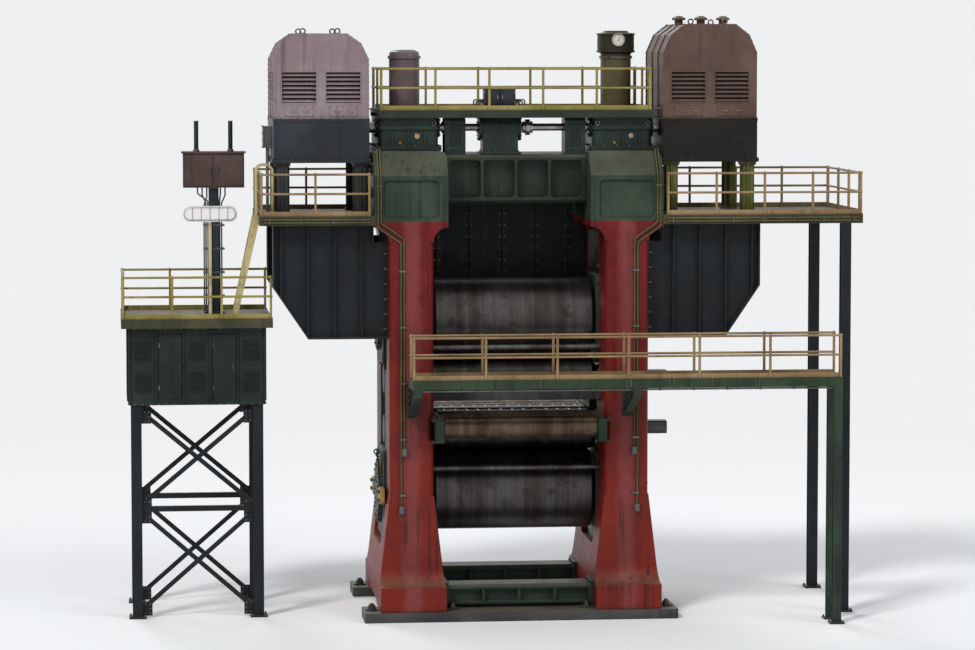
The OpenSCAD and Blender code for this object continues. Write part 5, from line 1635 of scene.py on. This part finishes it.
@dataclass
class MotorFittings(Fittings):
    """Fasteners, hatches, rivets, lifting eyes and terminal box of one screwdown motor."""
    side: int
    wide: float = 1.28
    deep: float = 1.65
    louvre_z: float = 0.42
    louvre_h: float = 0.78
    bank_w: float = 0.88
    end_ledge: float = 0.095
    side_ledge: float = 0.07

    @property
    def centre_x(self) -> float:
        """The motor's middle along X."""
        return self.side * self.stand.motor_x

    @property
    def end_y(self) -> float:
        """Where the cover's end walls stand on the base."""
        return self.deep - self.end_ledge

    @property
    def label(self) -> str:
        """The side's name."""
        return "left" if self.side < 0 else "right"

    @property
    def cover_h(self) -> float:
        """The cover's height, without ventilators."""
        extra = 0.22 if self.side > 0 else 0.0
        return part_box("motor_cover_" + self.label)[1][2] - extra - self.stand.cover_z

    @property
    def finish(self) -> Finish:
        """The cover's finish."""
        return Finish.COVER_LEFT if self.side < 0 else Finish.COVER_RIGHT

    def build(self) -> None:
        """Makes the pieces."""
        s = self.stand
        x = self.centre_x
        bed = border((x - self.wide + 0.022, -self.deep + 0.022, s.base_z + 0.09),
                     (x + self.wide - 0.022, self.deep - 0.022, s.base_z + 0.09), 0.24, (0, 0, 1))
        self.fitter.stamp(f"motor_bed_bolts_{self.label}", Stamp.BOLT, bed, 0.032, 0.024)
        ledge = border((x - self.wide + 0.05, -self.deep + 0.05, s.cover_z),
                       (x + self.wide - 0.05, self.deep - 0.05, s.cover_z), 0.2, (0, 0, 1))
        self.fitter.stamp(f"cover_foot_bolts_{self.label}", Stamp.BOLT, ledge, 0.03, 0.022)
        top = s.cover_z + self.cover_h - 0.025
        eyes = [((x + dx, y, top), (0, 0, 1)) for dx in (-0.45, 0.45) for y in (-1.1, 1.1)]
        self.fitter.stamp(f"cover_eyes_{self.label}", Stamp.EYE, eyes, 0.13, 0.1)
        self._rivets()
        self._louvres()
        self._hatches()
        self._terminal_box()

    def _rivets(self) -> None:
        """Rivets the cover's bands and the edges of its end walls."""
        x = self.centre_x
        high = self.cover_h
        half = self.wide - self.side_ledge + 0.025
        half_way = [(half, 0.05), (half, high * 0.7), (half * 0.84, high * 0.88 + 0.0125),
                    (half * 0.55, high)]
        path = [(-a, b) for a, b in half_way] + [(a, b) for a, b in reversed(half_way)]
        end_y, foot = self.end_y, self.stand.cover_z
        places: list[Place] = []
        for (x0, z0), (x1, z1) in zip(path, path[1:]):
            way = Vector((z0 - z1, 0, x1 - x0)).normalized()
            for y in (-end_y + 0.0175, -end_y / 3, end_y / 3, end_y - 0.0175):
                places += row((x + x0, y, foot + z0), (x + x1, y, foot + z1), 0.15, way)[:-1]
            for end in (-1, 1):
                shift = Vector((x, end * end_y, foot))
                first, last = (Vector((a * 0.955, 0, b - 0.05 * (b > 0.1))) + shift
                               for a, b in ((x0, z0), (x1, z1)))
                places += row(first, last, 0.15, (0, end, 0))[:-1]
        self.fitter.stamp(f"cover_rivets_{self.label}", Stamp.RIVET, places, 0.026, 0.02, self.finish)

    def _louvres(self) -> None:
        """Puts a dark sheet behind the louvres, a mesh screen that is also painted shade for the cover's
        inside, and trim round them.
        """
        x = self.centre_x
        z0 = self.stand.cover_z + self.louvre_z
        z1 = z0 + self.louvre_h
        end_y = self.end_y
        mesh, trim = Form(), Form()
        for end in (-1, 1):
            for x0 in (x - 0.13 - self.bank_w, x + 0.13):
                # The dark sheet behind each louvre bank is partly mesh screen and partly painted shade for
                # the cover's inside.
                mesh.box((x0, end * (end_y - 0.069), z0), (x0 + self.bank_w, end * (end_y - 0.064), z1))
                face = (end * end_y, end * (end_y + 0.008))
                for low, high in (((x0 - 0.03, z0 - 0.03), (x0 + self.bank_w + 0.03, z0)),
                                  ((x0 - 0.03, z1), (x0 + self.bank_w + 0.03, z1 + 0.03)),
                                  ((x0 - 0.03, z0), (x0, z1)),
                                  ((x0 + self.bank_w, z0), (x0 + self.bank_w + 0.03, z1))):
                    trim.box((low[0], face[0], low[1]), (high[0], face[1], high[1]))
        wall = self.side * (self.stand.motor_x + self.wide - self.side_ledge)
        for y0, y1 in ((-1.465, -0.598), (-0.44, 0.44), (0.598, 1.465)):
            mesh.box((wall - self.side * 0.069, y0, z0), (wall - self.side * 0.064, y1, z1))
            face = (wall, wall + self.side * 0.008)
            for low, high in (((y0, z0 - 0.03), (y1, z0)), ((y0, z1), (y1, z1 + 0.03))):
                trim.box((face[0], low[0], low[1]), (face[1], high[0], high[1]))
        self.fitter.solid(f"louvre_mesh_and_shade_{self.label}", mesh, Finish.DARK)
        self.fitter.solid(f"louvre_trim_{self.label}", trim, self.finish, 0.002)

    def _hatches(self) -> None:
        """Adds the inspection hatches below the louvres, with their screws and handles."""
        x = self.centre_x
        z = self.stand.cover_z + 0.2
        end_y = self.end_y
        lids = Form()
        screws: list[Place] = []
        grips: list[list[Point]] = []
        for end in (-1, 1):
            for dx in (-0.57, 0.57):
                y = end * (end_y + 0.007)
                lids.slab((x + dx, y, z), (0.74, 0.014, 0.27))
                face = end * (end_y + 0.014)
                screws += border((x + dx - 0.34, face, z - 0.11), (x + dx + 0.34, face, z + 0.11), 0.17,
                                 (0, end, 0))
                root, out = face - end * 0.01, face + end * 0.045
                for gx in (x + dx - 0.17, x + dx + 0.17):
                    grips.append([(gx - 0.06, root, z), (gx - 0.06, out, z), (gx + 0.06, out, z),
                                  (gx + 0.06, root, z)])
        self.fitter.solid(f"hatch_lids_{self.label}", lids, self.finish, 0.004)
        self.fitter.stamp(f"hatch_screws_{self.label}", Stamp.BOLT, screws, 0.022, 0.012)
        self.fitter.pipe(f"hatch_grips_{self.label}", grips, 0.009, 0.02, Finish.BRIGHT)

    def _terminal_box(self) -> None:
        """Adds the terminal box on the base's outer side, with conduits down to the walkway."""
        s = self.stand
        wall = self.side * (s.motor_out - 0.05)
        out = wall + self.side * 0.2
        box = Form()
        box.box((wall, -0.36, s.base_z + 0.36), (out, 0.36, s.base_z + 0.92))
        box.box((out, -0.38, s.base_z + 0.34), (out + self.side * 0.02, 0.38, s.base_z + 0.94))
        self.fitter.solid(f"terminal_box_{self.label}", box, Finish.CONDUIT, 0.01)
        screws = border((out + self.side * 0.02, -0.35, s.base_z + 0.37),
                        (out + self.side * 0.02, 0.35, s.base_z + 0.91), 0.18, (self.side, 0, 0))
        self.fitter.stamp(f"terminal_screws_{self.label}", Stamp.BOLT, screws, 0.024, 0.014)
        runs = [[(wall + self.side * 0.1, y, s.base_z + 0.38), (wall + self.side * 0.1, y, s.walk_z - 0.01)]
                for y in (-0.26, -0.13, 0.0, 0.13, 0.26)]
        self.fitter.pipe(f"terminal_conduits_{self.label}", runs, 0.03, 0.05, Finish.CONDUIT)


@dataclass
class BracketFittings(Fittings):
    """Bolts of the motor brackets and the pedestals, and the service pipes along the walkways."""

    def build(self) -> None:
        """Makes the pieces."""
        s = self.stand
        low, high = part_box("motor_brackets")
        middle_y = high[1] - 0.21
        bolts: list[Place] = []
        x = s.post_out + 0.045
        for y in (middle_y - 0.13, middle_y + 0.13):
            bolts += row((x, y, low[2] + 0.25), (x, y, high[2] - 0.75), 0.36, (1, 0, 0))
        self.fitter.stamp("bracket_bolts", Stamp.STUD, both(both(bolts, 0), 1), 0.1, 0.06)
        feet: list[Place] = []
        for x in (s.yoke_out + 0.10, s.motor_out - 0.48):
            for dx in (0.034, 0.386):
                for dy in (0.034, 0.386):
                    place = (x + dx, 1.19 + dy)
                    feet.append(((*place, s.walk_z + 0.045), (0, 0, 1)))
                    feet.append(((*place, s.base_z - 0.045), (0, 0, -1)))
        self.fitter.stamp("pedestal_bolts", Stamp.STUD, both(both(feet, 0), 1), 0.05, 0.034)
        self._edge_pipes()

    def _edge_pipes(self) -> None:
        """Runs two service pipes along each walkway's edge beam, on saddles."""
        s = self.stand
        runs = []
        saddles = Form()
        seams: list[Place] = []
        for end in (-1, 1):
            for x0, x1 in ((-6.6, -s.yoke_out - 0.1), (s.yoke_out + 0.1, 8.9)):
                y = end * (s.face_y + 0.03)
                for z in (s.walk_z - 0.09, s.walk_z - 0.16):
                    runs.append([(x0, y, z), (x1, y, z)])
                between = (y, s.walk_z - 0.125)
                for place, _ in row((x0 + 0.15, *between), (x1 - 0.15, *between), 0.8, (0, 1, 0)):
                    saddles.slab(place, (0.035, 0.058, 0.15))
                seam = (end * s.face_y, s.walk_z - 0.21)
                seams += row((x0 + 0.1, *seam), (x1 - 0.1, *seam), 0.3, (0, end, 0))
        self.fitter.pipe("walkway_pipes", runs, 0.024, 0.05, Finish.PIPE)
        self.fitter.solid("walkway_saddles", saddles, Finish.BOLT, 0.004)
        self.fitter.stamp("walkway_rivets", Stamp.RIVET, seams, 0.03, 0.02, Finish.DECK)


@dataclass
class RailRun:
    """One straight run of handrail, as the frame has it."""
    start: Point
    end: Point
    bays: int
    height: float = 1.1
    post: float = 0.06

    def feet(self) -> list[Vector]:
        """Places the posts' feet.

        Returns:
            One foot for each post.
        """
        first, last = Vector(self.start), Vector(self.end)
        inset = (last - first).normalized() * self.post / 2
        return [(first + inset).lerp(last - inset, i / self.bays) for i in range(self.bays + 1)]


@dataclass
class RailFittings(Fittings):
    """Ball joints, foot plates and bolts of one group of handrails."""
    name: str
    runs: Sequence[RailRun]
    finish: Finish

    def build(self) -> None:
        """Makes the pieces."""
        balls: list[Place] = []
        bolts: list[Place] = []
        plates = Form()
        for run in self.runs:
            for foot in run.feet():
                for up in (run.height - 0.03, run.height * 0.52):
                    balls.append((tuple(foot + Vector((0, 0, up))), (0, 0, 1)))
                plates.slab(foot + Vector((0, 0, 0.006)), (0.1, 0.1, 0.012))
                bolts += [(tuple(foot + Vector((dx, dy, 0.012))), (0, 0, 1)) for dx in (-0.037, 0.037)
                          for dy in (-0.037, 0.037)]
        self.fitter.stamp(f"{self.name}_joints", Stamp.BALL, balls, 0.094, 0.094, self.finish)
        self.fitter.stamp(f"{self.name}_bolts", Stamp.BOLT, bolts, 0.018, 0.012)
        self.fitter.solid(f"{self.name}_plates", plates, self.finish, 0.002)


@dataclass
class BridgeFittings(Fittings):
    """Bolts of the exit bridge's brackets, beams and legs, and the conduit under its edge."""

    def build(self) -> None:
        """Makes the pieces."""
        s = self.stand
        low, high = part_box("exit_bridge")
        bolts: list[Place] = []
        for x in (-s.housing_x, s.housing_x):
            for dx in (-0.07, 0.07):
                wall = (x + dx, -s.face_y - 0.026)
                bolts += row((*wall, low[2] - 0.8), (*wall, low[2] - 0.1), 0.175, (0, -1, 0))
        self.fitter.stamp("bridge_arm_bolts", Stamp.BOLT, bolts, 0.05, 0.035)
        rivets: list[Place] = []
        for end, y in ((-1, low[1]), (1, high[1])):
            for i in range(1, 10):
                x = low[0] + i * (high[0] - low[0]) / 10
                for dx in (-0.05, 0.05):
                    for z in (low[2] + 0.06, low[2] + 0.12, low[2] + 0.18):
                        rivets.append(((x + dx, y, z), (0, end, 0)))
        self.fitter.stamp("bridge_beam_bolts", Stamp.BOLT, rivets, 0.034, 0.022)
        feet = [((high[0] - 0.11 + dx, y + dy, 0.04), (0, 0, 1)) for y in (low[1] + 0.11, high[1] - 0.11)
                for dx in (-0.148, 0.148) for dy in (-0.148, 0.148)]
        self.fitter.stamp("bridge_foot_nuts", Stamp.STUD, feet, 0.05, 0.034)
        z = low[2] - 0.035
        y = low[1] + 0.045
        runs = [[(low[0] + 0.1, y + dy, z), (high[0] - 0.25, y + dy, z)] for dy in (0.0, 0.06)]
        self.fitter.pipe("bridge_conduits", runs, 0.022, 0.05, Finish.CONDUIT)
        hangers = Form()
        for place, _ in row((low[0] + 0.3, y + 0.03, z), (high[0] - 0.4, y + 0.03, z), 0.9, (0, 0, 1)):
            hangers.slab((place[0], place[1], z + 0.002), (0.035, 0.14, 0.066))
        self.fitter.solid("bridge_hangers", hangers, Finish.BOLT, 0.004)


@dataclass
class TowerFittings(Fittings):
    """Fittings of the side tower: foot nuts, gussets, the block's doors, ladder bolts, cabinet and lamp."""
    column_x: tuple[float, float] = (-9.87, -6.73)
    column_y: float = 1.37
    right_x: float = 8.57
    right_y: float = 2.1
    block_h: float = 2.0
    mast_y: float = 0.53
    cap_x: float = 0.448
    lamp_reach: float = 0.17
    rung_pitch: float = 0.25
    handhold_h: float = 1.3

    def build(self) -> None:
        """Makes the pieces."""
        self._columns()
        self._block()
        self._cabinet()
        self._lamp()
        self._ladder()

    def _columns(self) -> None:
        """Adds foot nuts and the bracing's gussets."""
        bases = [(x, y) for x in self.column_x for y in (-self.column_y, self.column_y)]
        bases += [(self.right_x, y) for y in (-self.right_y, self.right_y)]
        nuts = [((x + dx, y + dy, 0.04), (0, 0, 1)) for x, y in bases for dx in (-0.178, 0.178)
                for dy in (-0.178, 0.178)]
        self.fitter.stamp("column_foot_nuts", Stamp.STUD, nuts, 0.06, 0.04)
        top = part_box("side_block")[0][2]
        gussets = Form()
        bolts: list[Place] = []
        for y in (-self.column_y, self.column_y):
            for x, way in zip(self.column_x, (1, -1)):
                for z, lift in ((0.04, 0.2), (top / 2, 0.0), (top - 0.15, -0.16)):
                    mid = (x + way * 0.2, y, z + lift)
                    tall = 0.62 if lift == 0.0 else 0.36
                    gussets.slab(mid, (0.36, 0.044, tall))
                    for end in (-1, 1):
                        face = y + end * 0.022
                        bolts += border((mid[0] - 0.12, face, mid[2] - tall / 2 + 0.06),
                                        (mid[0] + 0.12, face, mid[2] + tall / 2 - 0.06), 0.12, (0, end, 0))
        self.fitter.solid("bracing_gussets", gussets, Finish.BRACKET, 0.004)
        self.fitter.stamp("bracing_bolts", Stamp.BOLT, bolts, 0.036, 0.024)

    def _block(self) -> None:
        """Adds stiffeners, doors, vents and edge bolts to the plated block."""
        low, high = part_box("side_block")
        top = low[2] + self.block_h
        pitch = (high[0] - low[0] - 0.04) / 5
        ribs, doors, hinges = Form(), Form(), Form()
        slats = []
        bolts: list[Place] = []
        for end, face in ((-1, low[1]), (1, high[1])):
            for i in range(6):
                x = low[0] + i * pitch
                ribs.box((x, face, low[2] + 0.05), (x + 0.04, face + end * 0.05, top - 0.05))
            for bay in (1, 3):
                x0, x1 = low[0] + bay * pitch + 0.07, low[0] + (bay + 1) * pitch - 0.03
                doors.box((x0, face, low[2] + 0.16), (x1, face + end * 0.024, top - 0.16))
                for z in (low[2] + 0.45, top - 0.45):
                    hinges.slab((x0 + 0.015, face + end * 0.028, z), (0.035, 0.03, 0.12))
                hinges.slab((x1 - 0.07, face + end * 0.035, (low[2] + top) / 2), (0.03, 0.03, 0.2))
            for bay in (0, 2, 4):
                x = low[0] + (bay + 0.5) * pitch + 0.02
                for z in (low[2] + 0.35, top - 0.83):
                    slats.append((9, (x, face + end * 0.012, z), (0, 0, 0.06), (0.42, 0.03, 0.022)))
            for z in (low[2] + 0.025, top - 0.025):
                bolts += row((low[0] + 0.15, face, z), (high[0] - 0.15, face, z), 0.2, (0, end, 0))
        for x, way in ((low[0], -1), (high[0], 1)):
            for i in range(1, 5):
                y = low[1] + i * (high[1] - low[1]) / 5
                ribs.box((x, y - 0.02, low[2] + 0.05), (x + way * 0.05, y + 0.02, top - 0.05))
            for z in (low[2] + 0.025, top - 0.025):
                bolts += row((x, low[1] + 0.1, z), (x, high[1] - 0.1, z), 0.2, (way, 0, 0))
        self.fitter.solid("block_ribs", ribs, Finish.BLOCK, 0.005)
        self.fitter.solid("block_doors", doors, Finish.BLOCK, 0.006)
        self.fitter.solid("block_hinges", hinges, Finish.BOLT, 0.004)
        self.fitter.bar_row("block_vents", slats, Finish.BRACKET)
        self.fitter.stamp("block_bolts", Stamp.BOLT, bolts, 0.034, 0.024)

    def _cabinet(self) -> None:
        """Fits out the cabinet on the mast."""
        x = middle("cabinet_mast", 0)
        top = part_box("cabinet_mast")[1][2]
        z0 = self.stand.walk_z + 0.65
        z1 = z0 + 0.9
        front = self.mast_y - 0.275
        back = self.mast_y + 0.25
        rim = back + 0.012
        small = Form()
        lamps: list[Place] = []
        for side in (-1, 1):
            door = x + side * 0.4
            for z in (z0 + 0.18, z0 + 0.72):
                small.slab((door + side * 0.36, front - 0.006, z), (0.03, 0.022, 0.09))
            small.slab((door - side * 0.31, front - 0.018, z0 + 0.45), (0.03, 0.04, 0.17))
            lamps += [((door + dx, front, z0 + 0.74), (0, -1, 0)) for dx in (-0.1, 0.0, 0.1)]
            tube = (x + side * self.cap_x, self.mast_y)
            small.collar(0.06, 0.085, 0.05, (*tube, z1 + 0.05), (0, 0, 1), 32)
            small.lathe([(0.07, 0.0), (0.07, 0.012), (0.045, 0.02)], (*tube, top - 0.02), (0, 0, 1), 32)
        self.fitter.solid("cabinet_fittings", small, Finish.BOLT, 0.003)
        self.fitter.stamp("cabinet_pilots", Stamp.BALL, lamps, 0.036, 0.036, Finish.PILOT)
        panel = Form()
        panel.box((x - 0.72, back, z0 + 0.08), (x + 0.72, rim, z1 - 0.08))
        self.fitter.solid("cabinet_back", panel, Finish.CABINET, 0.004)
        screws = border((x - 0.68, rim, z0 + 0.12), (x + 0.68, rim, z1 - 0.12), 0.2, (0, 1, 0))
        self.fitter.stamp("cabinet_screws", Stamp.BOLT, screws, 0.024, 0.014)
        runs = []
        for i, dx in enumerate((-0.42, -0.3, -0.18, 0.18, 0.3)):
            near = x + (-1 if dx < 0 else 1) * (0.155 + 0.05 * (i % 3 if dx < 0 else i - 3))
            y = self.mast_y - 0.02 + 0.05 * (i % 2)
            runs.append([(x + dx, y, z0 + 0.01), (x + dx, y, z0 - 0.16 - 0.05 * (i % 3)),
                         (near, y, z0 - 0.36 - 0.05 * (i % 3)), (near, y, self.stand.side_z + 0.02)])
        self.fitter.pipe("mast_conduits", runs, 0.02, 0.05, Finish.CONDUIT)
        straps = Form()
        for i in range(4):
            straps.slab((x, self.mast_y, self.stand.side_z + 0.45 + i * 0.62), (0.56, 0.28, 0.05))
        self.fitter.solid("mast_straps", straps, Finish.BOLT, 0.005)
        feet = [((x + dx, self.mast_y + dy, self.stand.side_z + 0.04), (0, 0, 1)) for dx in (-0.2, 0.2)
                for dy in (-0.2, 0.2)]
        self.fitter.stamp("mast_foot_nuts", Stamp.STUD, feet, 0.05, 0.034)

    def _lamp(self) -> None:
        """Gives the lamp its lens, rim, wire guard and foot bolts."""
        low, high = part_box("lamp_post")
        x = middle("lamp_post", 0)
        y = low[1]
        z0, z1 = high[2] - 0.4, high[2]
        lens = self._stadium(x, z0 + 0.075, z1 - 0.075, 0.625)
        form = Form()
        form.prism([(px, y - 0.001, pz) for px, pz in lens], (0, -0.008, 0))
        self.fitter.solid("lamp_lens", form, Finish.LENS)
        wires = []
        loop = self._stadium(x, z0 + 0.03, z1 - 0.03, 0.67)
        wires.append([(px, y - 0.012, pz) for px, pz in loop + loop[:1]])
        foot, head = z0 + 0.035, z1 - 0.035
        for dx in (-0.45, -0.225, 0.0, 0.225, 0.45):
            wires.append([(x + dx, y + 0.03, foot), (x + dx, y - 0.02, foot), (x + dx, y - 0.02, head),
                          (x + dx, y + 0.03, head)])
        self.fitter.pipe("lamp_guard", wires, 0.005, 0.012, Finish.CONDUIT)
        pole_y = y + self.lamp_reach
        feet = [((x + dx, pole_y + dy, self.stand.side_z + 0.03), (0, 0, 1)) for dx in (-0.075, 0.075)
                for dy in (-0.075, 0.075)]
        self.fitter.stamp("lamp_foot_bolts", Stamp.BOLT, feet, 0.03, 0.02)
        cable = [(x + 0.06, pole_y, self.stand.side_z + 0.02), (x + 0.06, pole_y, z0 + 0.01)]
        self.fitter.pipe("lamp_cable", [cable], 0.014, 0.02, Finish.DARK)

    def _stadium(self, x: float, z0: float, z1: float, half: float) -> list[tuple[float, float]]:
        """Returns the outline of a bar with round ends.

        Args:
            x: Its middle.
            z0: Its lower side.
            z1: Its upper side.
            half: Half its length.

        Returns:
            The outline's points as X and Z.
        """
        radius = (z1 - z0) / 2
        points = []
        for way in (1, -1):
            for i in range(13):
                angle = math.radians(-90 + i * 15)
                points.append((x + way * (half - radius + radius * math.cos(angle)),
                               (z0 + z1) / 2 + way * radius * math.sin(angle)))
        return points

    def _ladder(self) -> None:
        """Bolts the ladder's rungs and feet."""
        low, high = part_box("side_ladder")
        rise = self.stand.walk_z - self.stand.side_z
        rungs = int(rise / self.rung_pitch)
        caps: list[Place] = []
        for i in range(1, rungs):
            x = high[0] - 0.07 - 0.56 * (1 - i / rungs)
            z = self.stand.side_z + rise * i / rungs
            caps += [((x, low[1], z), (0, -1, 0)), ((x, high[1], z), (0, 1, 0))]
        self.fitter.stamp("ladder_rung_ends", Stamp.RIVET, caps, 0.046, 0.03, Finish.PALE)
        feet = Form()
        for y in (low[1] - 0.03, high[1] + 0.03):
            feet.slab((low[0] + 0.07, y, self.stand.side_z + 0.06), (0.12, 0.06, 0.12))
        self.fitter.solid("ladder_feet", feet, Finish.PALE, 0.004)
        grips = []
        head, deck = high[0] - 0.05, self.stand.walk_z
        for y in (low[1] + 0.025, high[1] - 0.025):
            grips.append([(head, y, deck - 0.1), (head, y, deck + self.handhold_h),
                          (head + 0.42, y, deck + self.handhold_h), (head + 0.42, y, deck)])
        self.fitter.pipe("ladder_handholds", grips, 0.026, 0.16, Finish.PALE)


def rail_groups(stand: Stand, fitter: Fitter) -> list[RailFittings]:
    """Lists the groups of handrails with their runs.

    Args:
        stand: The stand's places.
        fitter: What makes the pieces.

    Returns:
        One entry for each group.
    """
    edge = stand.face_y - 0.06
    z = stand.walk_z
    walk = [RailRun((-6.68, end * edge, z), (-3.85, end * edge, z), 2) for end in (-1, 1)]
    walk += [RailRun((3.85, end * edge, z), (8.98, end * edge, z), 4) for end in (-1, 1)]
    walk += [RailRun((x, -2.09, z), (x, 2.09, z), 3) for x in (-6.64, 8.94)]
    z = stand.crown_deck_z
    crown = [RailRun((-3.54, y, z), (3.54, y, z), 5) for y in (-1.44, 1.44)]
    crown += [RailRun((x, -1.34, z), (x, 1.34, z), 2) for x in (-3.51, 3.51)]
    z = stand.bridge_z
    bridge = [RailRun((-2.93, y, z), (8.08, y, z), 6) for y in (-4.14, -3.26)]
    z = stand.side_z
    side = [RailRun((-10.23, y, z), (-6.37, y, z), 3) for y in (-1.74, 1.74)]
    side.append(RailRun((-10.19, -1.64, z), (-10.19, 1.64, z), 2))
    groups = (("walkway_rail", walk, Finish.TAN), ("crown_rail", crown, Finish.OLIVE),
              ("bridge_rail", bridge, Finish.TAN), ("side_rail", side, Finish.OLIVE))
    return [RailFittings(stand, fitter, *group) for group in groups]


@dataclass
class Studio:
    """The plain floor, the soft light and the camera at the photograph's viewing angle."""
    azimuth: float = -6.0
    distance: float = 95.0
    eye_z: float = 14.8
    aim: Point = (-0.6, 0.0, 7.45)
    lens: float = 133.0
    pale: Colour = (0.86, 0.87, 0.88)
    floor_colour: Colour = (0.88, 0.89, 0.90)
    floor_r: float = 260.0
    fade: tuple[float, float] = (12.0, 45.0)
    sky_colour: Colour = (0.95, 0.97, 1.0)
    sky: float = 0.48

    def build(self) -> None:
        """Makes the floor, the lights, the world and the camera."""
        self._floor()
        self._world()
        self._sun("key_light", (48, 0, -38), 1.6, 12)
        self._sun("fill_light", (58, 0, 50), 0.65, 30)
        self._sun("back_light", (-55, 0, 15), 0.8, 20)
        self._camera()

    def _floor(self) -> None:
        """Makes the pale floor, which fades into the background far from the stand."""
        form = Form()
        form.lathe([(self.floor_r, -0.02), (self.floor_r, -0.001)], (0, 0, 0), (0, 0, 1), 96)
        mesh = form.take("floor")
        material = bpy.data.materials.new("floor_pale")
        material.use_nodes = True
        material.node_tree.nodes.clear()
        board = NodeBoard(material.node_tree)
        matt = board.add("ShaderNodeBsdfDiffuse", {"Color": self.floor_colour})
        glow = board.add("ShaderNodeEmission", {"Color": self.pale})
        place = board.add("ShaderNodeTexCoord").outputs["Object"]
        away = board.vector("LENGTH", place, (0.0, 0.0, 0.0))["Value"]
        share = board.times(board.band(away, *self.fade), self._seen(board))
        mixed = board.add("ShaderNodeMixShader", {0: share, 1: matt.outputs[0], 2: glow.outputs[0]})
        board.add("ShaderNodeOutputMaterial", {"Surface": mixed.outputs[0]})
        mesh.materials.append(material)
        floor = bpy.data.objects.new("floor", mesh)
        bpy.context.scene.collection.objects.link(floor)

    def _world(self) -> None:
        """Makes a grey light from all round that the camera sees as the pale background."""
        world = bpy.data.worlds.new("studio")
        bpy.context.scene.world = world
        world.use_nodes = True
        world.node_tree.nodes.clear()
        board = NodeBoard(world.node_tree)
        soft = board.add("ShaderNodeBackground", {"Color": self.sky_colour, "Strength": self.sky})
        plain = board.add("ShaderNodeBackground", {"Color": self.pale})
        mixed = board.add("ShaderNodeMixShader", {
            0: self._seen(board), 1: soft.outputs[0], 2: plain.outputs[0]})
        board.add("ShaderNodeOutputWorld", {"Surface": mixed.outputs[0]})

    def _seen(self, board: NodeBoard) -> Socket:
        """Returns where a ray shows the background: in the picture, in a gloss or through glass."""
        ray = board.add("ShaderNodeLightPath").outputs
        return board.math("MAXIMUM", board.math("MAXIMUM", ray["Is Camera Ray"], ray["Is Glossy Ray"]),
                          ray["Is Transmission Ray"])

    def _sun(self, name: str, tilt: Point, strength: float, softness: float) -> None:
        """Adds a soft distant light.

        Args:
            name: The light's name.
            tilt: Its rotation in degrees.
            strength: Its strength.
            softness: Its angle in degrees.
        """
        light = bpy.data.lights.new(name, "SUN")
        light.energy = strength
        light.angle = math.radians(softness)
        lamp = bpy.data.objects.new(name, light)
        lamp.rotation_euler = [math.radians(v) for v in tilt]
        bpy.context.scene.collection.objects.link(lamp)

    def _camera(self) -> None:
        """Adds the camera and aims it at the stand."""
        data = bpy.data.cameras.new("camera")
        data.lens = self.lens
        data.sensor_width = 36.0
        data.clip_end = 1000.0
        camera = bpy.data.objects.new("camera", data)
        turn = math.radians(self.azimuth)
        aim = Vector(self.aim)
        x, y = aim.x + self.distance * math.sin(turn), aim.y - self.distance * math.cos(turn)
        place = Vector((x, y, self.eye_z))
        camera.location = place
        camera.rotation_euler = (aim - place).to_track_quat("-Z", "Y").to_euler()
        bpy.context.scene.collection.objects.link(camera)
        bpy.context.scene.camera = camera


def main() -> None:
    """Dresses the frame, adds every fitting and sets up the studio."""
    logging.basicConfig(level=logging.INFO, format="%(message)s")
    bpy.context.scene.view_settings.view_transform = "Standard"
    stand = Stand()
    shop = Paintshop()
    fitter = Fitter(shop)
    shop.dress_nodes()
    kit = (stand, fitter)
    parts = [HousingFittings(*kit), ScrewdownFittings(*kit), RollFittings(*kit), PassLineFittings(*kit),
             MotorFittings(*kit, -1), MotorFittings(*kit, 1), BracketFittings(*kit), *rail_groups(*kit),
             BridgeFittings(*kit), TowerFittings(*kit)]
    for part in parts:
        part.build()
        LOG.info("%s done", type(part).__name__)
    Studio().build()


if __name__ == "__main__":
    main()
